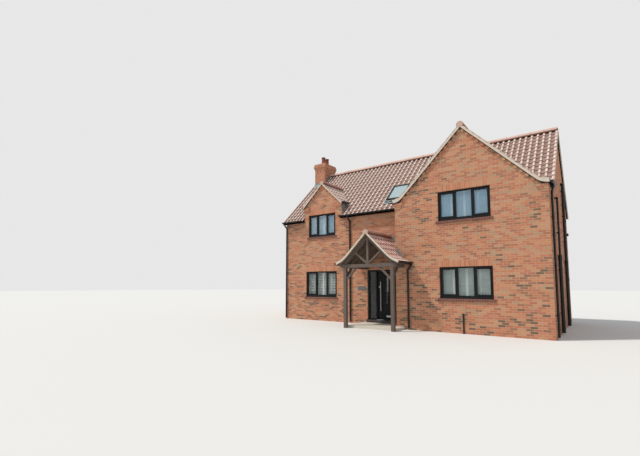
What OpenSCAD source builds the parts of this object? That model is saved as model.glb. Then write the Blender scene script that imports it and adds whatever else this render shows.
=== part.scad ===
// Detached brick house with a projecting front wing, a gabled half dormer and an oak porch.
// Millimetres. Front faces -Y, +Z is up, ground level is Z = 0.
// The origin is the middle of the main range in plan.

/* [Main range] */
// Width of the main range over the gable walls
main_w = 11370; // [9600:10:14000]
// Depth of the main range over the front and rear walls
main_d = 6010; // [5000:10:8000]
// Thickness of the outer walls
wall_t = 300; // [250:5:400]
// Fall of the main roof for one unit of run
main_fall = 0.949; // [0.8:0.001:1.1]
// Height of the boxed soffit of the main eaves
eave_z = 4600; // [4450:5:4700]

/* [Front wing] */
// Width of the front wing
wing_w = 5050; // [4400:10:5600]
// Projection of the wing in front of the main front wall
wing_out = 910; // [500:10:1600]
// Height of the wing soffit
wing_eave_z = 4700; // [4600:5:4900]
// Run of the lifted tile courses at the wing eaves
wing_kick = 250; // [150:5:400]

/* [Half dormer] */
// Distance from the left gable to the middle of the half dormer
dormer_in = 2230; // [1900:5:2600]
// Width of the half dormer wall
dormer_w = 2140; // [1900:10:2600]
// Height of the tile plane at the dormer ridge
dormer_ridge_z = 6425; // [6200:5:6700]

/* [Windows] */
// Width of the wing windows and of the ground floor windows
win_w = 1750; // [1400:10:2000]
// Width of the dormer window
dormer_win_w = 1545; // [1200:10:1700]
// Height of the window heads on the ground floor
low_head = 2250; // [2150:5:2350]
// Height of the window heads on the upper floor
up_head = 4920; // [4850:5:5000]
// Height of the ground floor windows
low_win_h = 1045; // [900:5:1200]
// Height of the upper windows
up_win_h = 1010; // [900:5:1100]
// Height of the ground floor window left of the door
left_win_h = 1135; // [900:5:1250]

/* [Door and porch] */
// Distance from the wing to the left side of the door frame
door_in = 1740; // [1640:5:1900]
// Width of the door leaf
leaf_w = 920; // [800:5:960]
// Height of the threshold over the ground
step_z = 185; // [150:5:250]
// How far the door stands open, in degrees
door_open = 0; // [0:1:90]
// Distance from the wing to the middle of the porch
porch_in = 720; // [660:5:800]
// Distance between the middles of the two porch posts
porch_span = 1970; // [1800:10:2100]
// Width of a porch post
post_w = 125; // [100:5:150]
// Distance from the main wall to the front of the posts
porch_out = 1815; // [1600:5:2200]
// Height of the underside of the tie beam
tie_z = 2275; // [2200:5:2300]

/* [Chimney] */
// Width of the chimney stack along the front
stack_w = 660; // [500:10:900]
// Depth of the chimney stack
stack_d = 1010; // [800:10:1200]
// Height of the brick stack over the tile plane at the ridge
stack_up = 565; // [400:5:1100]

/* [Part] */
// Sub-part to draw

/* [Hidden] */
$fn = 32;
eps = 1;
// Clearance left where turned or round pieces lie against flat ones
seat = 0.2;

// Walls and floors
half_w = main_w / 2;
half_d = main_d / 2;
front_y = -half_d;
wing_y = front_y - wing_out;
wing_half = wing_w / 2;
wing_x = half_w - wing_half;
wing_left = half_w - wing_w;
floor1_z = 2840;
floor_t = 240;
course_h = 75;

// Main roof; the tile plane is the top of the tiles
eave_over = 190;
eave_edge = 93;
verge_over = 50;
roof_t = 207;
main_end = half_d + eave_over;
tile_eave_z = eave_z + eave_edge;
ridge_z = tile_eave_z + main_end * main_fall;
sky_z = ridge_z + 1500;

// Wing roof
gable_over = 65;
wing_eave_over = 40;
wing_edge = 200;
wing_roof_t = 155;
kick_fall = 0.19;
wing_end = wing_half + wing_eave_over;
wing_bend = wing_end - wing_kick;
wing_ridge_z = wing_eave_z + wing_edge + wing_bend;

// Half dormer
dormer_x = -half_w + dormer_in;
dormer_half = dormer_w / 2;
dormer_over = 35;
dormer_fall = 0.951;
dormer_roof_t = 116;
dormer_end = dormer_half + dormer_over;
dormer_soffit = dormer_ridge_z - dormer_roof_t - dormer_fall * dormer_half;
cheek_t = 20;

// Windows
frame_back = 60;
frame_t = 70;
frame_b = 55;
sash_b = 48;
glass_t = 24;
sill_h = 130;
sill_out = 45;
sill_ear = 75;
shutter_back = 190;
rear_head = 4450;
rear_win_x = half_w - 2785;
left_win_x = dormer_x - 90;
dormer_win_x = dormer_x - 50;

// Door
jamb = 70;
mullion_w = 65;
side_w = 290;
leaf_gap = 5;
door_x0 = wing_left - door_in;
leaf_x0 = door_x0 + jamb + side_w + mullion_w + leaf_gap;
leaf_x1 = leaf_x0 + leaf_w;
door_x1 = leaf_x1 + leaf_gap + jamb;
door_y = front_y + 60;
door_deep = 100;
leaf_t = 50;
leaf_y = door_y + door_deep - leaf_t;
leaf_z0 = step_z + 8;
leaf_z1 = low_head - jamb - leaf_gap;
sill_strip_h = 30;
pin_r = 7;
pin_x = leaf_x1 + leaf_gap / 2;
pin_y = leaf_y + leaf_t + pin_r;
hinge_z = [430, 1180, 1930];
knuckle_h = 36;
knuckle_gap = 0.4;

// Porch
porch_x = wing_left - porch_in;
post_x = porch_span / 2;
post_y = front_y - porch_out;
tie_h = 130;
tie_half = post_x + 170;
plate_z = tie_z + tie_h;
porch_over = 100;
porch_tile_t = 110;
board_t = 30;
porch_roof_t = porch_tile_t + board_t;
porch_kick_fall = 0.45;
porch_bend = post_x - 5;
porch_half = post_x + 315;
plate_out = 28;
porch_ridge_z = plate_z + porch_roof_t + post_x + post_w / 2 + plate_out;
truss_apex = porch_ridge_z - porch_roof_t;
truss_y0 = post_y + 20;
truss_y1 = post_y + post_w - 15;
slab_z = 100;
tread_out = 300;

// Ridge tiles, verges and lead
ridge_r = 120;
ridge_drop = 55;
mortar_t = 28;
mortar_drop = 12;
verge_t = 123;
lead_t = 4;
step_run = 130;

// Gutters and pipes
gutter_r = 57;
gutter_z = tile_eave_z - 3;
wing_gutter_z = wing_eave_z + 60;
porch_gutter_z = plate_z + 62;
pipe_r = 34;
pipe_off = 54;
pipe_foot = 60;
soil_r = 55;
// Brackets under the gutters stand clear of the pipe outlets
bracket_first = 300;
bracket_pitch = 900;
bracket_w = 28;

// Chimney
stack_x0 = -half_w;
stack_y0 = -660;
stack_z = ridge_z + stack_up;
stack_foot_z = ridge_z - 1225;
head_outs = [25, 50, 50, 25];
cap_h = 60;
pot_h = 380;
pot_gap = 330;

// Roof window on the front slope, placed by its middle
skylight_x = wing_left - 585;
skylight_run = 2270;
skylight_w = 780;
skylight_l = 1100;
skylight_edge = 60;
tray_w = 70;

black = [0.08, 0.09, 0.10];
brick = [0.72, 0.50, 0.41];
dark_brick = [0.42, 0.28, 0.24];
tile = [0.72, 0.47, 0.40];
cream = [0.90, 0.84, 0.78];
oak = [0.50, 0.46, 0.42];
lead = [0.45, 0.52, 0.55];
steel = [0.62, 0.63, 0.64];
stone = [0.72, 0.74, 0.74];
glass_c = [0.55, 0.68, 0.75, 0.5];
white = [0.92, 0.92, 0.90];

// Each window: middle, wall face, width, head, height
front_windows = [
  [wing_x, wing_y, win_w, low_head, low_win_h],
  [wing_x, wing_y, win_w, up_head, up_win_h],
  [left_win_x, front_y, win_w, low_head, left_win_h],
  [dormer_win_x, front_y, dormer_win_w, up_head, up_win_h]];
rear_windows = [for (x = [-rear_win_x, rear_win_x], v = [[low_head, low_win_h], [rear_head, up_win_h]])
  [x, half_d, win_w, v[0], v[1]]];
all_windows = concat(front_windows, rear_windows);

// Points that ease one straight line into the next, from p through the corner q to r
function eased(p, q, r, n = 4) = [for (i = [0 : n]) let (t = i / n)
  (1 - t) * (1 - t) * p + 2 * t * (1 - t) * q + t * t * r];

// One side of a tile line from the ridge outwards, with lifted courses beyond the bend
function lifted_line(rz, fall, bend, kfall, end) =
  let (zb = rz - bend * fall, soft = (end - bend) / 2)
  concat([[0, rz]], eased([bend - soft, zb + soft * fall], [bend, zb], [bend + soft, zb - soft * kfall]),
    [[end, zb - (end - bend) * kfall]]);

// The whole tile line from the left eave over the ridge to the right eave
function over_ridge(line) = concat([for (i = [len(line) - 1 : -1 : 1]) [-line[i][0], line[i][1]]], line);

main_line = [[0, ridge_z], [main_end, tile_eave_z]];
wing_line = lifted_line(wing_ridge_z, 1, wing_bend, kick_fall, wing_end);
dormer_line = [[0, dormer_ridge_z], [dormer_end, dormer_ridge_z - dormer_end * dormer_fall]];
porch_line = lifted_line(porch_ridge_z, 1, porch_bend, porch_kick_fall, porch_half);

module along_x(x0, x1) {
  translate([x0, 0, 0]) rotate([90, 0, 90]) linear_extrude(x1 - x0) children();
}

module along_y(xm, y0, y1) {
  translate([xm, y1, 0]) rotate([90, 0, 0]) linear_extrude(y1 - y0) children();
}

// Everything below a gabled tile line, down to one level
module gable_shape(line, low) {
  end = line[len(line) - 1][0];
  polygon(concat(over_ridge(line), [[end, low], [-end, low]]));
}

// A band that follows a tile line between two depths below it
module band_shape(line, top, bottom) {
  pts = over_ridge(line);
  polygon(concat([for (p = pts) p - [0, top]], [for (i = [len(pts) - 1 : -1 : 0]) pts[i] - [0, bottom]]));
}

// The open space under the rafters, with a flat wall head where the slope comes lower
module attic_shape(rz, fall, soffit, end, low) {
  run = min(end, (rz - soffit) / fall);
  ze = rz - run * fall;
  polygon([[0, rz], [run, ze], [end, ze], [end, low], [-end, low], [-end, ze], [-run, ze]]);
}

module main_top() {
  along_x(-half_w - verge_over, half_w + verge_over) gable_shape(main_line, eave_z);
}

module main_attic() {
  along_x(-half_w - 2 * verge_over, half_w + 2 * verge_over)
    attic_shape(ridge_z - roof_t, main_fall, eave_z, half_d, -eps);
}

module wing_top() {
  difference() {
    along_y(wing_x, wing_y - gable_over, 0) gable_shape(wing_line, wing_eave_z);
    translate([half_w, -main_end, wing_eave_z - eps])
      cube([wing_eave_over + eps, main_end + eps, sky_z]);
  }
}

module wing_attic() {
  along_y(wing_x, wing_y - 3 * gable_over, 0)
    attic_shape(wing_ridge_z - wing_roof_t, 1, wing_eave_z, wing_half, -eps);
}

module dormer_top() {
  along_y(dormer_x, front_y - gable_over, -half_d / 3) gable_shape(dormer_line, dormer_soffit);
}

module dormer_void() {
  along_y(dormer_x, front_y - 2 * eave_over, -half_d / 3 + eps)
    attic_shape(dormer_ridge_z - dormer_roof_t, dormer_fall, dormer_soffit, dormer_half, floor1_z);
}

module stack_box(grow = 0) {
  translate([stack_x0 - grow, stack_y0, stack_foot_z])
    cube([stack_w + grow, stack_d, stack_z - stack_foot_z]);
}

module on_front_slope(x, run) {
  translate([x, -run, ridge_z - run * main_fall]) rotate([atan(main_fall), 0, 0]) children();
}

// Sets a window or what belongs to it into its wall, face at y = 0 and inwards at +y
module in_wall(w) {
  translate([w[0], w[1], 0]) rotate([0, 0, w[1] > 0 ? 180 : 0]) children();
}

module window_hole(w) {
  in_wall(w) {
    translate([-w[2] / 2, -eps, w[3] - w[4]]) cube([w[2], wall_t + 2 * eps, w[4]]);
    translate([-w[2] / 2, -eps, w[3] - w[4] - sill_h]) cube([w[2], frame_back + frame_t + eps, sill_h + eps]);
  }
}

// Sill of bricks on edge, sloped at the top, with ears past the opening
module sill(w) {
  z0 = w[3] - w[4];
  deep = frame_back + frame_t;
  nose = z0 - 40;
  in_wall(w) {
    along_x(-w[2] / 2, w[2] / 2)
      polygon([[deep, z0], [deep, z0 - sill_h], [0, z0 - sill_h], [0, nose], [frame_back, z0]]);
    along_x(-w[2] / 2 - sill_ear, w[2] / 2 + sill_ear)
      polygon([[0, nose], [0, z0 - sill_h], [-sill_out, z0 - sill_h], [-sill_out, nose - 30]]);
  }
}

function light_w(w) = (w[2] - 4 * frame_b) / 3;

// One of the three lights of a window; i is 0, 1 or 2 from the left
module light(w, i, edge, y0, y1) {
  lw = light_w(w);
  x0 = -w[2] / 2 + frame_b + i * (lw + frame_b);
  in_wall(w) translate([x0 + edge, y0, w[3] - w[4] + frame_b + edge])
    cube([lw - 2 * edge, y1 - y0, w[4] - 2 * frame_b - 2 * edge]);
}

module frame(w) {
  difference() {
    in_wall(w) translate([-w[2] / 2, frame_back, w[3] - w[4]]) cube([w[2], frame_t, w[4]]);
    for (i = [0 : 2]) light(w, i, 0, frame_back - eps, frame_back + frame_t + eps);
  }
}

// Opening sash in a side light, standing a little proud of the frame
module sash(w, i) {
  proud = 10;
  difference() {
    light(w, i, 0, frame_back - proud, frame_back + 50);
    light(w, i, sash_b, frame_back - proud - eps, frame_back + 50 + eps);
  }
}

// Hinged shutter panels inside a window; with no blades the slats are closed to a plain board
module shutter(w, panels, blades) {
  stile = 42;
  rail = 52;
  thick = 30;
  slat = 9;
  pw = w[2] / panels;
  h = w[4];
  step = (h - 2 * rail) / max(blades, 1);
  in_wall(w) translate([-w[2] / 2, shutter_back, w[3] - h]) {
    difference() {
      cube([w[2], thick, h]);
      for (i = [0 : panels - 1]) translate([i * pw + stile, -eps, rail])
        cube([pw - 2 * stile, thick + 2 * eps, h - 2 * rail]);
    }
    for (i = [0 : panels - 1]) {
      if (blades == 0) translate([i * pw + stile - eps, (thick - slat) / 2, rail - eps])
        cube([pw - 2 * stile + 2 * eps, slat, h - 2 * rail + 2 * eps]);
      for (k = [0 : 1 : blades - 1])
        translate([i * pw + stile - eps, thick / 2, rail + (k + 0.5) * step]) rotate([50, 0, 0])
          translate([0, -slat / 2, -step * 0.42]) cube([pw - 2 * stile + 2 * eps, slat, step * 0.84]);
    }
  }
}

module ground_floor() {
  color(stone) {
    translate([-half_w + wall_t, front_y + wall_t, 0])
      cube([main_w - 2 * wall_t, main_d - 2 * wall_t, step_z]);
    translate([wing_left + wall_t, wing_y + wall_t, 0])
      cube([wing_w - 2 * wall_t, wing_out + eps, step_z]);
    translate([door_x0, front_y, 0]) cube([door_x1 - door_x0, wall_t + eps, step_z]);
  }
}

module upper_floor() {
  color(stone) {
    translate([-half_w + wall_t, front_y + wall_t, floor1_z - floor_t])
      cube([main_w - 2 * wall_t, main_d - 2 * wall_t, floor_t]);
    translate([wing_left + wall_t, wing_y + wall_t, floor1_z - floor_t])
      cube([wing_w - 2 * wall_t, wing_out + eps, floor_t]);
  }
}

module wing_front_wall() {
  color(brick) difference() {
    intersection() {
      translate([wing_left, wing_y, 0]) cube([wing_w, wall_t, wing_ridge_z]);
      wing_attic();
    }
    for (w = front_windows) if (w[1] == wing_y) window_hole(w);
  }
}

module wing_left_wall() {
  color(brick) intersection() {
    translate([wing_left, wing_y + wall_t, 0]) cube([wall_t, wing_out - wall_t, wing_ridge_z]);
    wing_attic();
  }
}

module front_wall(x0, x1, z0 = 0) {
  color(brick) difference() {
    intersection() {
      translate([x0, front_y, z0]) cube([x1 - x0, wall_t, sky_z]);
      union() {
        main_attic();
        if (x0 < dormer_x) dormer_void();
        if (x1 > wing_left) wing_attic();
      }
    }
    for (w = front_windows) if (w[1] == front_y) window_hole(w);
  }
}

module front_wall_left() {
  front_wall(-half_w, door_x0);
}

module front_wall_over_door() {
  front_wall(door_x0, door_x1, low_head);
}

module front_wall_right() {
  front_wall(door_x1, wing_left + wall_t);
}

module side_wall(x0, y0) {
  intersection() {
    translate([x0, y0, 0]) cube([wall_t, half_d - wall_t - y0, sky_z]);
    union() {
      main_attic();
      if (x0 > 0) wing_attic();
    }
  }
}

module left_gable_wall() {
  color(brick) difference() {
    side_wall(-half_w, front_y + wall_t);
    stack_box();
  }
}

module right_gable_wall() {
  color(brick) side_wall(half_w - wall_t, wing_y + wall_t);
}

module rear_wall() {
  color(brick) difference() {
    intersection() {
      translate([-half_w, half_d - wall_t, 0]) cube([main_w, wall_t, sky_z]);
      main_attic();
    }
    for (w = rear_windows) window_hole(w);
  }
}

// Block set square to the front slope at the roof window, inside its outline by edge
module skylight_block(edge, z0, z1) {
  on_front_slope(skylight_x, skylight_run)
    translate([-skylight_w / 2 + edge, -skylight_l / 2 + edge, z0])
    cube([skylight_w - 2 * edge, skylight_l - 2 * edge, z1 - z0]);
}

// Half of the main roof; side is -1 for the front and 1 for the rear
module main_slope(side) {
  intersection() {
    main_top();
    translate([-main_w, side > 0 ? 0 : -main_end - eps, 0]) cube([2 * main_w, main_end + eps, sky_z]);
  }
}

module main_roof_front() {
  color(tile) difference() {
    main_slope(-1);
    main_attic();
    wing_attic();
    dormer_void();
    stack_box(2 * verge_over);
    skylight_block(0, -2 * roof_t, roof_t);
    eaves_board_blocks(eps);
  }
}

module main_roof_rear() {
  color(tile) difference() {
    main_slope(1);
    main_attic();
    stack_box(2 * verge_over);
    eaves_board_blocks(eps);
  }
}

module wing_roof() {
  color(tile) difference() {
    wing_top();
    wing_attic();
    main_top();
    eaves_board_blocks(eps);
  }
}

module dormer_roof() {
  color(tile) difference() {
    dormer_top();
    dormer_void();
    main_top();
  }
}

// Lead clad triangles that close the sides of the half dormer over the main slope
module dormer_cheeks() {
  meet_y = -(ridge_z - dormer_soffit) / main_fall;
  slope_z = ridge_z + front_y * main_fall;
  color(lead) difference() {
    for (s = [-1, 1]) along_x(dormer_x + (s > 0 ? dormer_half : -dormer_half - cheek_t),
        dormer_x + (s > 0 ? dormer_half + cheek_t : -dormer_half))
      polygon([[front_y, dormer_soffit], [front_y, slope_z - course_h], [meet_y, dormer_soffit]]);
    main_top();
  }
}

// Boards on edge that close the eaves behind the gutters; grow lets them cut the roofs cleanly
module eaves_board_blocks(grow = 0) {
  t = 20;
  z0 = -12;
  main_h = eave_edge - 28 - z0;
  gx = dormer_x - dormer_half;
  translate([-half_w - verge_over - grow, -main_end - grow, eave_z + z0])
    cube([gx + half_w + verge_over + grow, t + grow, main_h]);
  translate([dormer_x + dormer_half, -main_end - grow, eave_z + z0])
    cube([wing_left - dormer_x - dormer_half, t + grow, main_h]);
  translate([-half_w - verge_over - grow, main_end - t, eave_z + z0])
    cube([main_w + 2 * verge_over + 2 * grow, t + grow, main_h]);
  for (s = [-1, 1]) translate([wing_x + (s > 0 ? wing_end - t : -wing_end - grow), wing_y - gable_over - grow,
      wing_eave_z + z0])
    cube([t + grow, -main_end - wing_y + gable_over + grow, wing_edge - 100 - z0]);
}

module eaves_boards() {
  color(black) eaves_board_blocks();
}

module ridge_cap(rz, len) {
  translate([0, 0, rz - ridge_drop]) rotate([90, 0, 0]) cylinder(r = ridge_r, h = len);
}

module main_ridge() {
  x0 = stack_x0 + stack_w;
  translate([x0, 0, ridge_z - ridge_drop]) rotate([0, 90, 0])
    cylinder(r = ridge_r, h = half_w + verge_over - x0);
}

module porch_ridge() {
  translate([porch_x, front_y, 0]) ridge_cap(porch_ridge_z, porch_out + porch_over);
}

module ridge_tiles() {
  color(dark_brick) {
    difference() {
      main_ridge();
      main_top();
    }
    difference() {
      translate([wing_x, 0, 0]) ridge_cap(wing_ridge_z, -wing_y + gable_over);
      main_top();
      wing_top();
    }
    difference() {
      translate([dormer_x, -half_d / 3, 0]) ridge_cap(dormer_ridge_z, -front_y + gable_over - half_d / 3);
      main_top();
      dormer_top();
    }
    difference() {
      porch_ridge();
      porch_top();
    }
  }
}

// Mortar on the edge of a gabled roof, with the plug that closes the ridge tile's end
module verge_band(xm, y, line, t) {
  along_y(xm, y - mortar_t, y) {
    band_shape(line, mortar_drop, t + mortar_drop);
    translate([0, line[0][1] - ridge_drop]) intersection() {
      circle(r = ridge_r - mortar_drop);
      translate([-ridge_r, -ridge_drop]) square(2 * ridge_r);
    }
  }
}

module verges() {
  porch_verge_t = 85;
  color(cream) {
    verge_band(wing_x, wing_y - gable_over, wing_line, verge_t);
    verge_band(dormer_x, front_y - gable_over, dormer_line, dormer_roof_t - mortar_drop);
    verge_band(porch_x, post_y - porch_over, porch_line, porch_verge_t);
    for (s = [-1, 1]) along_x(s > 0 ? half_w + verge_over : -half_w - verge_over - mortar_t,
        s > 0 ? half_w + verge_over + mortar_t : -half_w - verge_over) difference() {
      band_shape(main_line, mortar_drop, verge_t);
      if (s < 0) translate([stack_y0, 0]) square([stack_d, sky_z]);
    }
  }
}

// Projecting half bricks in a row under each rake of a gable
module dentils(xm, y, apex_z, fall, reach) {
  a = atan(fall);
  wide = 104;
  deep = 50;
  first = 120;
  pitch = 225;
  for (s = [-1, 1], d = [first : pitch : reach / cos(a) - wide / 2])
    translate([xm, 0, apex_z - seat]) rotate([0, s * a, 0])
      translate([s * d - wide / 2, y - deep - seat, -course_h]) cube([wide, deep, course_h]);
}

kneeler_w = 330;
kneeler_out = 18;

module dentil_courses() {
  color(dark_brick) {
    dentils(wing_x, wing_y, wing_ridge_z - wing_roof_t, 1, wing_half - kneeler_w);
    dentils(dormer_x, front_y, dormer_ridge_z - dormer_roof_t, dormer_fall, dormer_half - kneeler_w);
  }
}

// Three brick courses stepping out and inwards under the foot of a rake; s is the side
module kneeler(xm, y, half, z, s) {
  step = 60;
  translate([xm, 0, 0]) for (k = [0 : 2])
    translate([s > 0 ? half - kneeler_w + k * step : -half, y - kneeler_out * (3 - k), z - course_h * (k + 1)])
      cube([kneeler_w - k * step, kneeler_out * (3 - k), course_h]);
}

module kneelers() {
  color(brick) for (s = [-1, 1]) {
    kneeler(wing_x, wing_y, wing_half, wing_eave_z, s);
    kneeler(dormer_x, front_y, dormer_half, dormer_soffit - 20, s);
  }
}

module window_frames() {
  color(black) for (w = all_windows) frame(w);
}

module window_sashes() {
  color(black) for (w = all_windows, i = [0, 2]) sash(w, i);
}

module window_glass() {
  sash_pane = frame_back + 10;
  fixed_pane = frame_back + 25;
  color(glass_c) for (w = all_windows) {
    for (i = [0, 2]) light(w, i, sash_b, sash_pane, sash_pane + glass_t);
    light(w, 1, 0, fixed_pane, fixed_pane + glass_t);
  }
}

module window_sills() {
  color(dark_brick) for (w = all_windows) sill(w);
}

module plantation_shutters() {
  color(white) {
    shutter(front_windows[0], 4, 0);
    shutter(front_windows[1], 4, 0);
    shutter(front_windows[2], 4, 14);
    shutter(front_windows[3], 4, 0);
  }
}

module roof_window() {
  color(black) difference() {
    skylight_block(0, -160, 60);
    skylight_block(skylight_edge, -200, 100);
  }
}

module roof_window_glass() {
  color(glass_c) skylight_block(skylight_edge, 10, 10 + glass_t);
}

// Mortar slope on the head of the stack, falling to all four sides
module stack_cap() {
  low = 40;
  high = 120;
  intersection() {
    along_x(stack_x0 + low, stack_x0 + stack_w - low) translate([stack_y0, stack_z - eps])
      polygon([[low, 0], [stack_d - low, 0], [stack_d - high, cap_h], [high, cap_h]]);
    along_y(0, stack_y0 + low, stack_y0 + stack_d - low) translate([stack_x0, stack_z - eps])
      polygon([[low, 0], [stack_w - low, 0], [stack_w - high, cap_h], [high, cap_h]]);
  }
}

module chimney_stack() {
  color(brick) {
    stack_box();
    for (k = [0 : len(head_outs) - 1]) {
      out = head_outs[k];
      translate([stack_x0 - out, stack_y0 - out, stack_z - course_h * (len(head_outs) - k)])
        cube([stack_w + 2 * out, stack_d + 2 * out, course_h]);
    }
    stack_cap();
  }
}

module chimney_pots() {
  wall = 18;
  color(tile) for (k = [-1, 1])
    translate([stack_x0 + stack_w / 2, stack_y0 + stack_d / 2 + k * pot_gap / 2, stack_z + cap_h - eps])
      rotate_extrude() polygon([[0, 0], [118, 0], [118, 40], [106, 55], [96, pot_h - 70], [96, pot_h - 60],
        [112, pot_h - 48], [112, pot_h - 8], [104, pot_h], [104 - wall, pot_h], [96 - wall, pot_h - 60],
        [106 - wall, 60], [0, 60]]);
}

// Stepped lead upstand over a slope that falls away from x = 0; it is cut along the tiles afterwards
module lead_steps(rz, fall, run, rise) {
  for (x = [0 : step_run : run - 1])
    translate([x, rz - (x + step_run) * fall - rise])
      square([min(step_run, run - x), step_run * fall + 2 * rise]);
}

module lead_flashings() {
  stack_rise = 90;
  porch_rise = 85;
  color(lead) difference() {
    union() {
      for (s = [0, 1]) along_x(stack_x0 + stack_w, stack_x0 + stack_w + lead_t) mirror([1 - s, 0])
        lead_steps(ridge_z, main_fall, s == 0 ? -stack_y0 : stack_y0 + stack_d, stack_rise);
      for (y = [stack_y0 - lead_t, stack_y0 + stack_d])
        translate([stack_x0, y, ridge_z - abs(y) * main_fall - stack_rise])
          cube([stack_w + lead_t, lead_t, stack_rise * 2 + 50]);
      along_y(porch_x, front_y - lead_t, front_y) for (s = [0, 1]) mirror([s, 0])
        lead_steps(porch_ridge_z, 1, s == 1 ? porch_bend : wing_left - porch_x, porch_rise);
      along_y(wing_left, wing_y - lead_t, wing_y)
        lead_steps(porch_ridge_z - wing_left + porch_x, 1, porch_x + porch_bend - wing_left, porch_rise);
      difference() {
        skylight_block(-tray_w, -5, 12);
        skylight_block(0, -10, 20);
      }
    }
    main_top();
    porch_top();
    main_ridge();
    porch_ridge();
  }
}

// Half round gutter with closed ends, brackets in front and a lip behind
module gutter_run(len) {
  wall = 4;
  rotate([0, 90, 0]) difference() {
    union() {
      cylinder(r = gutter_r, h = len);
      for (x = [bracket_first : bracket_pitch : len - 2 * bracket_w])
        translate([0, 0, x]) cylinder(r = gutter_r + 3, h = bracket_w);
    }
    translate([0, 0, wall]) cylinder(r = gutter_r - wall, h = len - 2 * wall);
    translate([-2 * gutter_r, -2 * gutter_r, -eps]) cube([2 * gutter_r, 4 * gutter_r, len + 2 * eps]);
    translate([-gutter_r, gutter_r, -eps]) cube([3 * gutter_r, gutter_r, len + 2 * eps]);
  }
  translate([0, gutter_r - wall, -8]) cube([len, wall, 20]);
}

module gutters() {
  gx = dormer_x - dormer_half;
  side_len = gable_over - wing_y - main_end;
  dormer_z = dormer_line[1][1] - 5;
  dormer_len = gable_over - front_y - (ridge_z - dormer_z + gutter_r + 3) / main_fall;
  color(black) {
    translate([-half_w - verge_over, -main_end - gutter_r, gutter_z]) gutter_run(gx + half_w + verge_over);
    translate([dormer_x + dormer_half, -main_end - gutter_r, gutter_z])
      gutter_run(wing_left - wing_eave_over - 2 * gutter_r - 6 - dormer_x - dormer_half);
    translate([half_w + verge_over, main_end + gutter_r, gutter_z]) rotate([0, 0, 180])
      gutter_run(main_w + 2 * verge_over);
    translate([wing_x + wing_end + gutter_r, wing_y - gable_over, wing_gutter_z])
      rotate([0, 0, 90]) gutter_run(side_len);
    translate([wing_x - wing_end - gutter_r, -main_end, wing_gutter_z])
      rotate([0, 0, -90]) gutter_run(side_len);
    translate([dormer_x + dormer_end + gutter_r, front_y - gable_over, dormer_z])
      rotate([0, 0, 90]) gutter_run(dormer_len);
    translate([dormer_x - dormer_end - gutter_r, front_y - gable_over + dormer_len, dormer_z])
      rotate([0, 0, -90]) gutter_run(dormer_len);
    translate([porch_x + porch_half + gutter_r, post_y - porch_over, porch_gutter_z])
      rotate([0, 0, 90]) gutter_run(porch_out - wing_out + porch_over);
    translate([porch_x - porch_half - gutter_r, front_y, porch_gutter_z])
      rotate([0, 0, -90]) gutter_run(porch_out + porch_over);
  }
}

module rod(p, q, r) {
  d = q - p;
  collar = r + 5;
  translate(p) rotate([0, acos(d[2] / norm(d)), atan2(d[1], d[0])]) cylinder(r = r, h = norm(d));
  translate(p) sphere(r = collar);
  translate(q) sphere(r = collar);
}

// Clips that hold an upright pipe to the wall; side is the way the wall lies
module pipe_clips(x, y, side, r, off, heights) {
  clip_h = 30;
  clip_w = 50;
  for (z = heights) translate([x, y, z]) {
    cylinder(r = r + 4, h = clip_h);
    rotate([0, 0, side]) translate([0, -clip_w / 2, 0]) cube([off, clip_w, clip_h]);
  }
}

// Rainwater pipe down a wall with a swan neck up to the outlet of its gutter
module downpipe(x, y, side, top, clips) {
  neck = 230;
  spigot = 60;
  bend = [x, y, top[2] - neck];
  drop = [top[0], top[1], top[2] - spigot];
  translate([x, y, pipe_foot]) cylinder(r = pipe_r, h = bend[2] - pipe_foot);
  rod(bend, drop, pipe_r);
  translate(drop) cylinder(r = pipe_r, h = spigot);
  pipe_clips(x, y, side, pipe_r, pipe_off, clips);
}

module downpipes() {
  gy = main_end + gutter_r;
  gz = gutter_z - gutter_r - seat;
  wall_clips = [700 : 1500 : eave_z - 700];
  corner = 65;
  rear_corner = 185;
  wing_pipe_y = wing_y + 305;
  porch_gx = porch_x + porch_half + gutter_r;
  color(black) {
    for (x = [-half_w + corner, dormer_x + dormer_half + 450])
      downpipe(x, front_y - pipe_off, 90, [x, -gy, gz], wall_clips);
    downpipe(wing_left + 495, wing_y - pipe_off, 90,
      [porch_gx, wing_y - pipe_off, porch_gutter_z - gutter_r - seat], [600 : 1100 : tie_z - 500]);
    downpipe(half_w + pipe_off, wing_pipe_y, 180,
      [wing_x + wing_end + gutter_r, wing_pipe_y, wing_gutter_z - gutter_r - seat], wall_clips);
    for (x = [rear_corner - half_w, half_w - rear_corner])
      downpipe(x, half_d + pipe_off, -90, [x, gy, gz], wall_clips);
  }
}

// Soil pipe up the right gable, thick up to its boss; the thin part ends in a bend into the wall
module soil_pipe(y, boss_z, top, thin) {
  x = half_w + soil_r + 20;
  translate([x, y, pipe_foot]) cylinder(r = soil_r, h = boss_z - pipe_foot);
  translate([x, y, boss_z]) cylinder(r = soil_r + 8, h = 170);
  translate([x, y, boss_z + 170]) cylinder(r = thin, h = top - boss_z - 170);
  translate([x, y, top]) sphere(r = thin + 5);
  translate([half_w, y, top]) rotate([0, 90, 0]) cylinder(r = thin, h = x - half_w);
  pipe_clips(x, y, 180, soil_r, x - half_w, [700 : 1400 : boss_z - 300]);
  pipe_clips(x, y, 180, thin, x - half_w, [boss_z + 900 : 1000 : top - 300]);
}

module soil_pipes() {
  color(black) {
    soil_pipe(front_y + 800, 2450, wing_eave_z - 150, pipe_r);
    soil_pipe(500, 2400, 5600, 50);
  }
}

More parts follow.
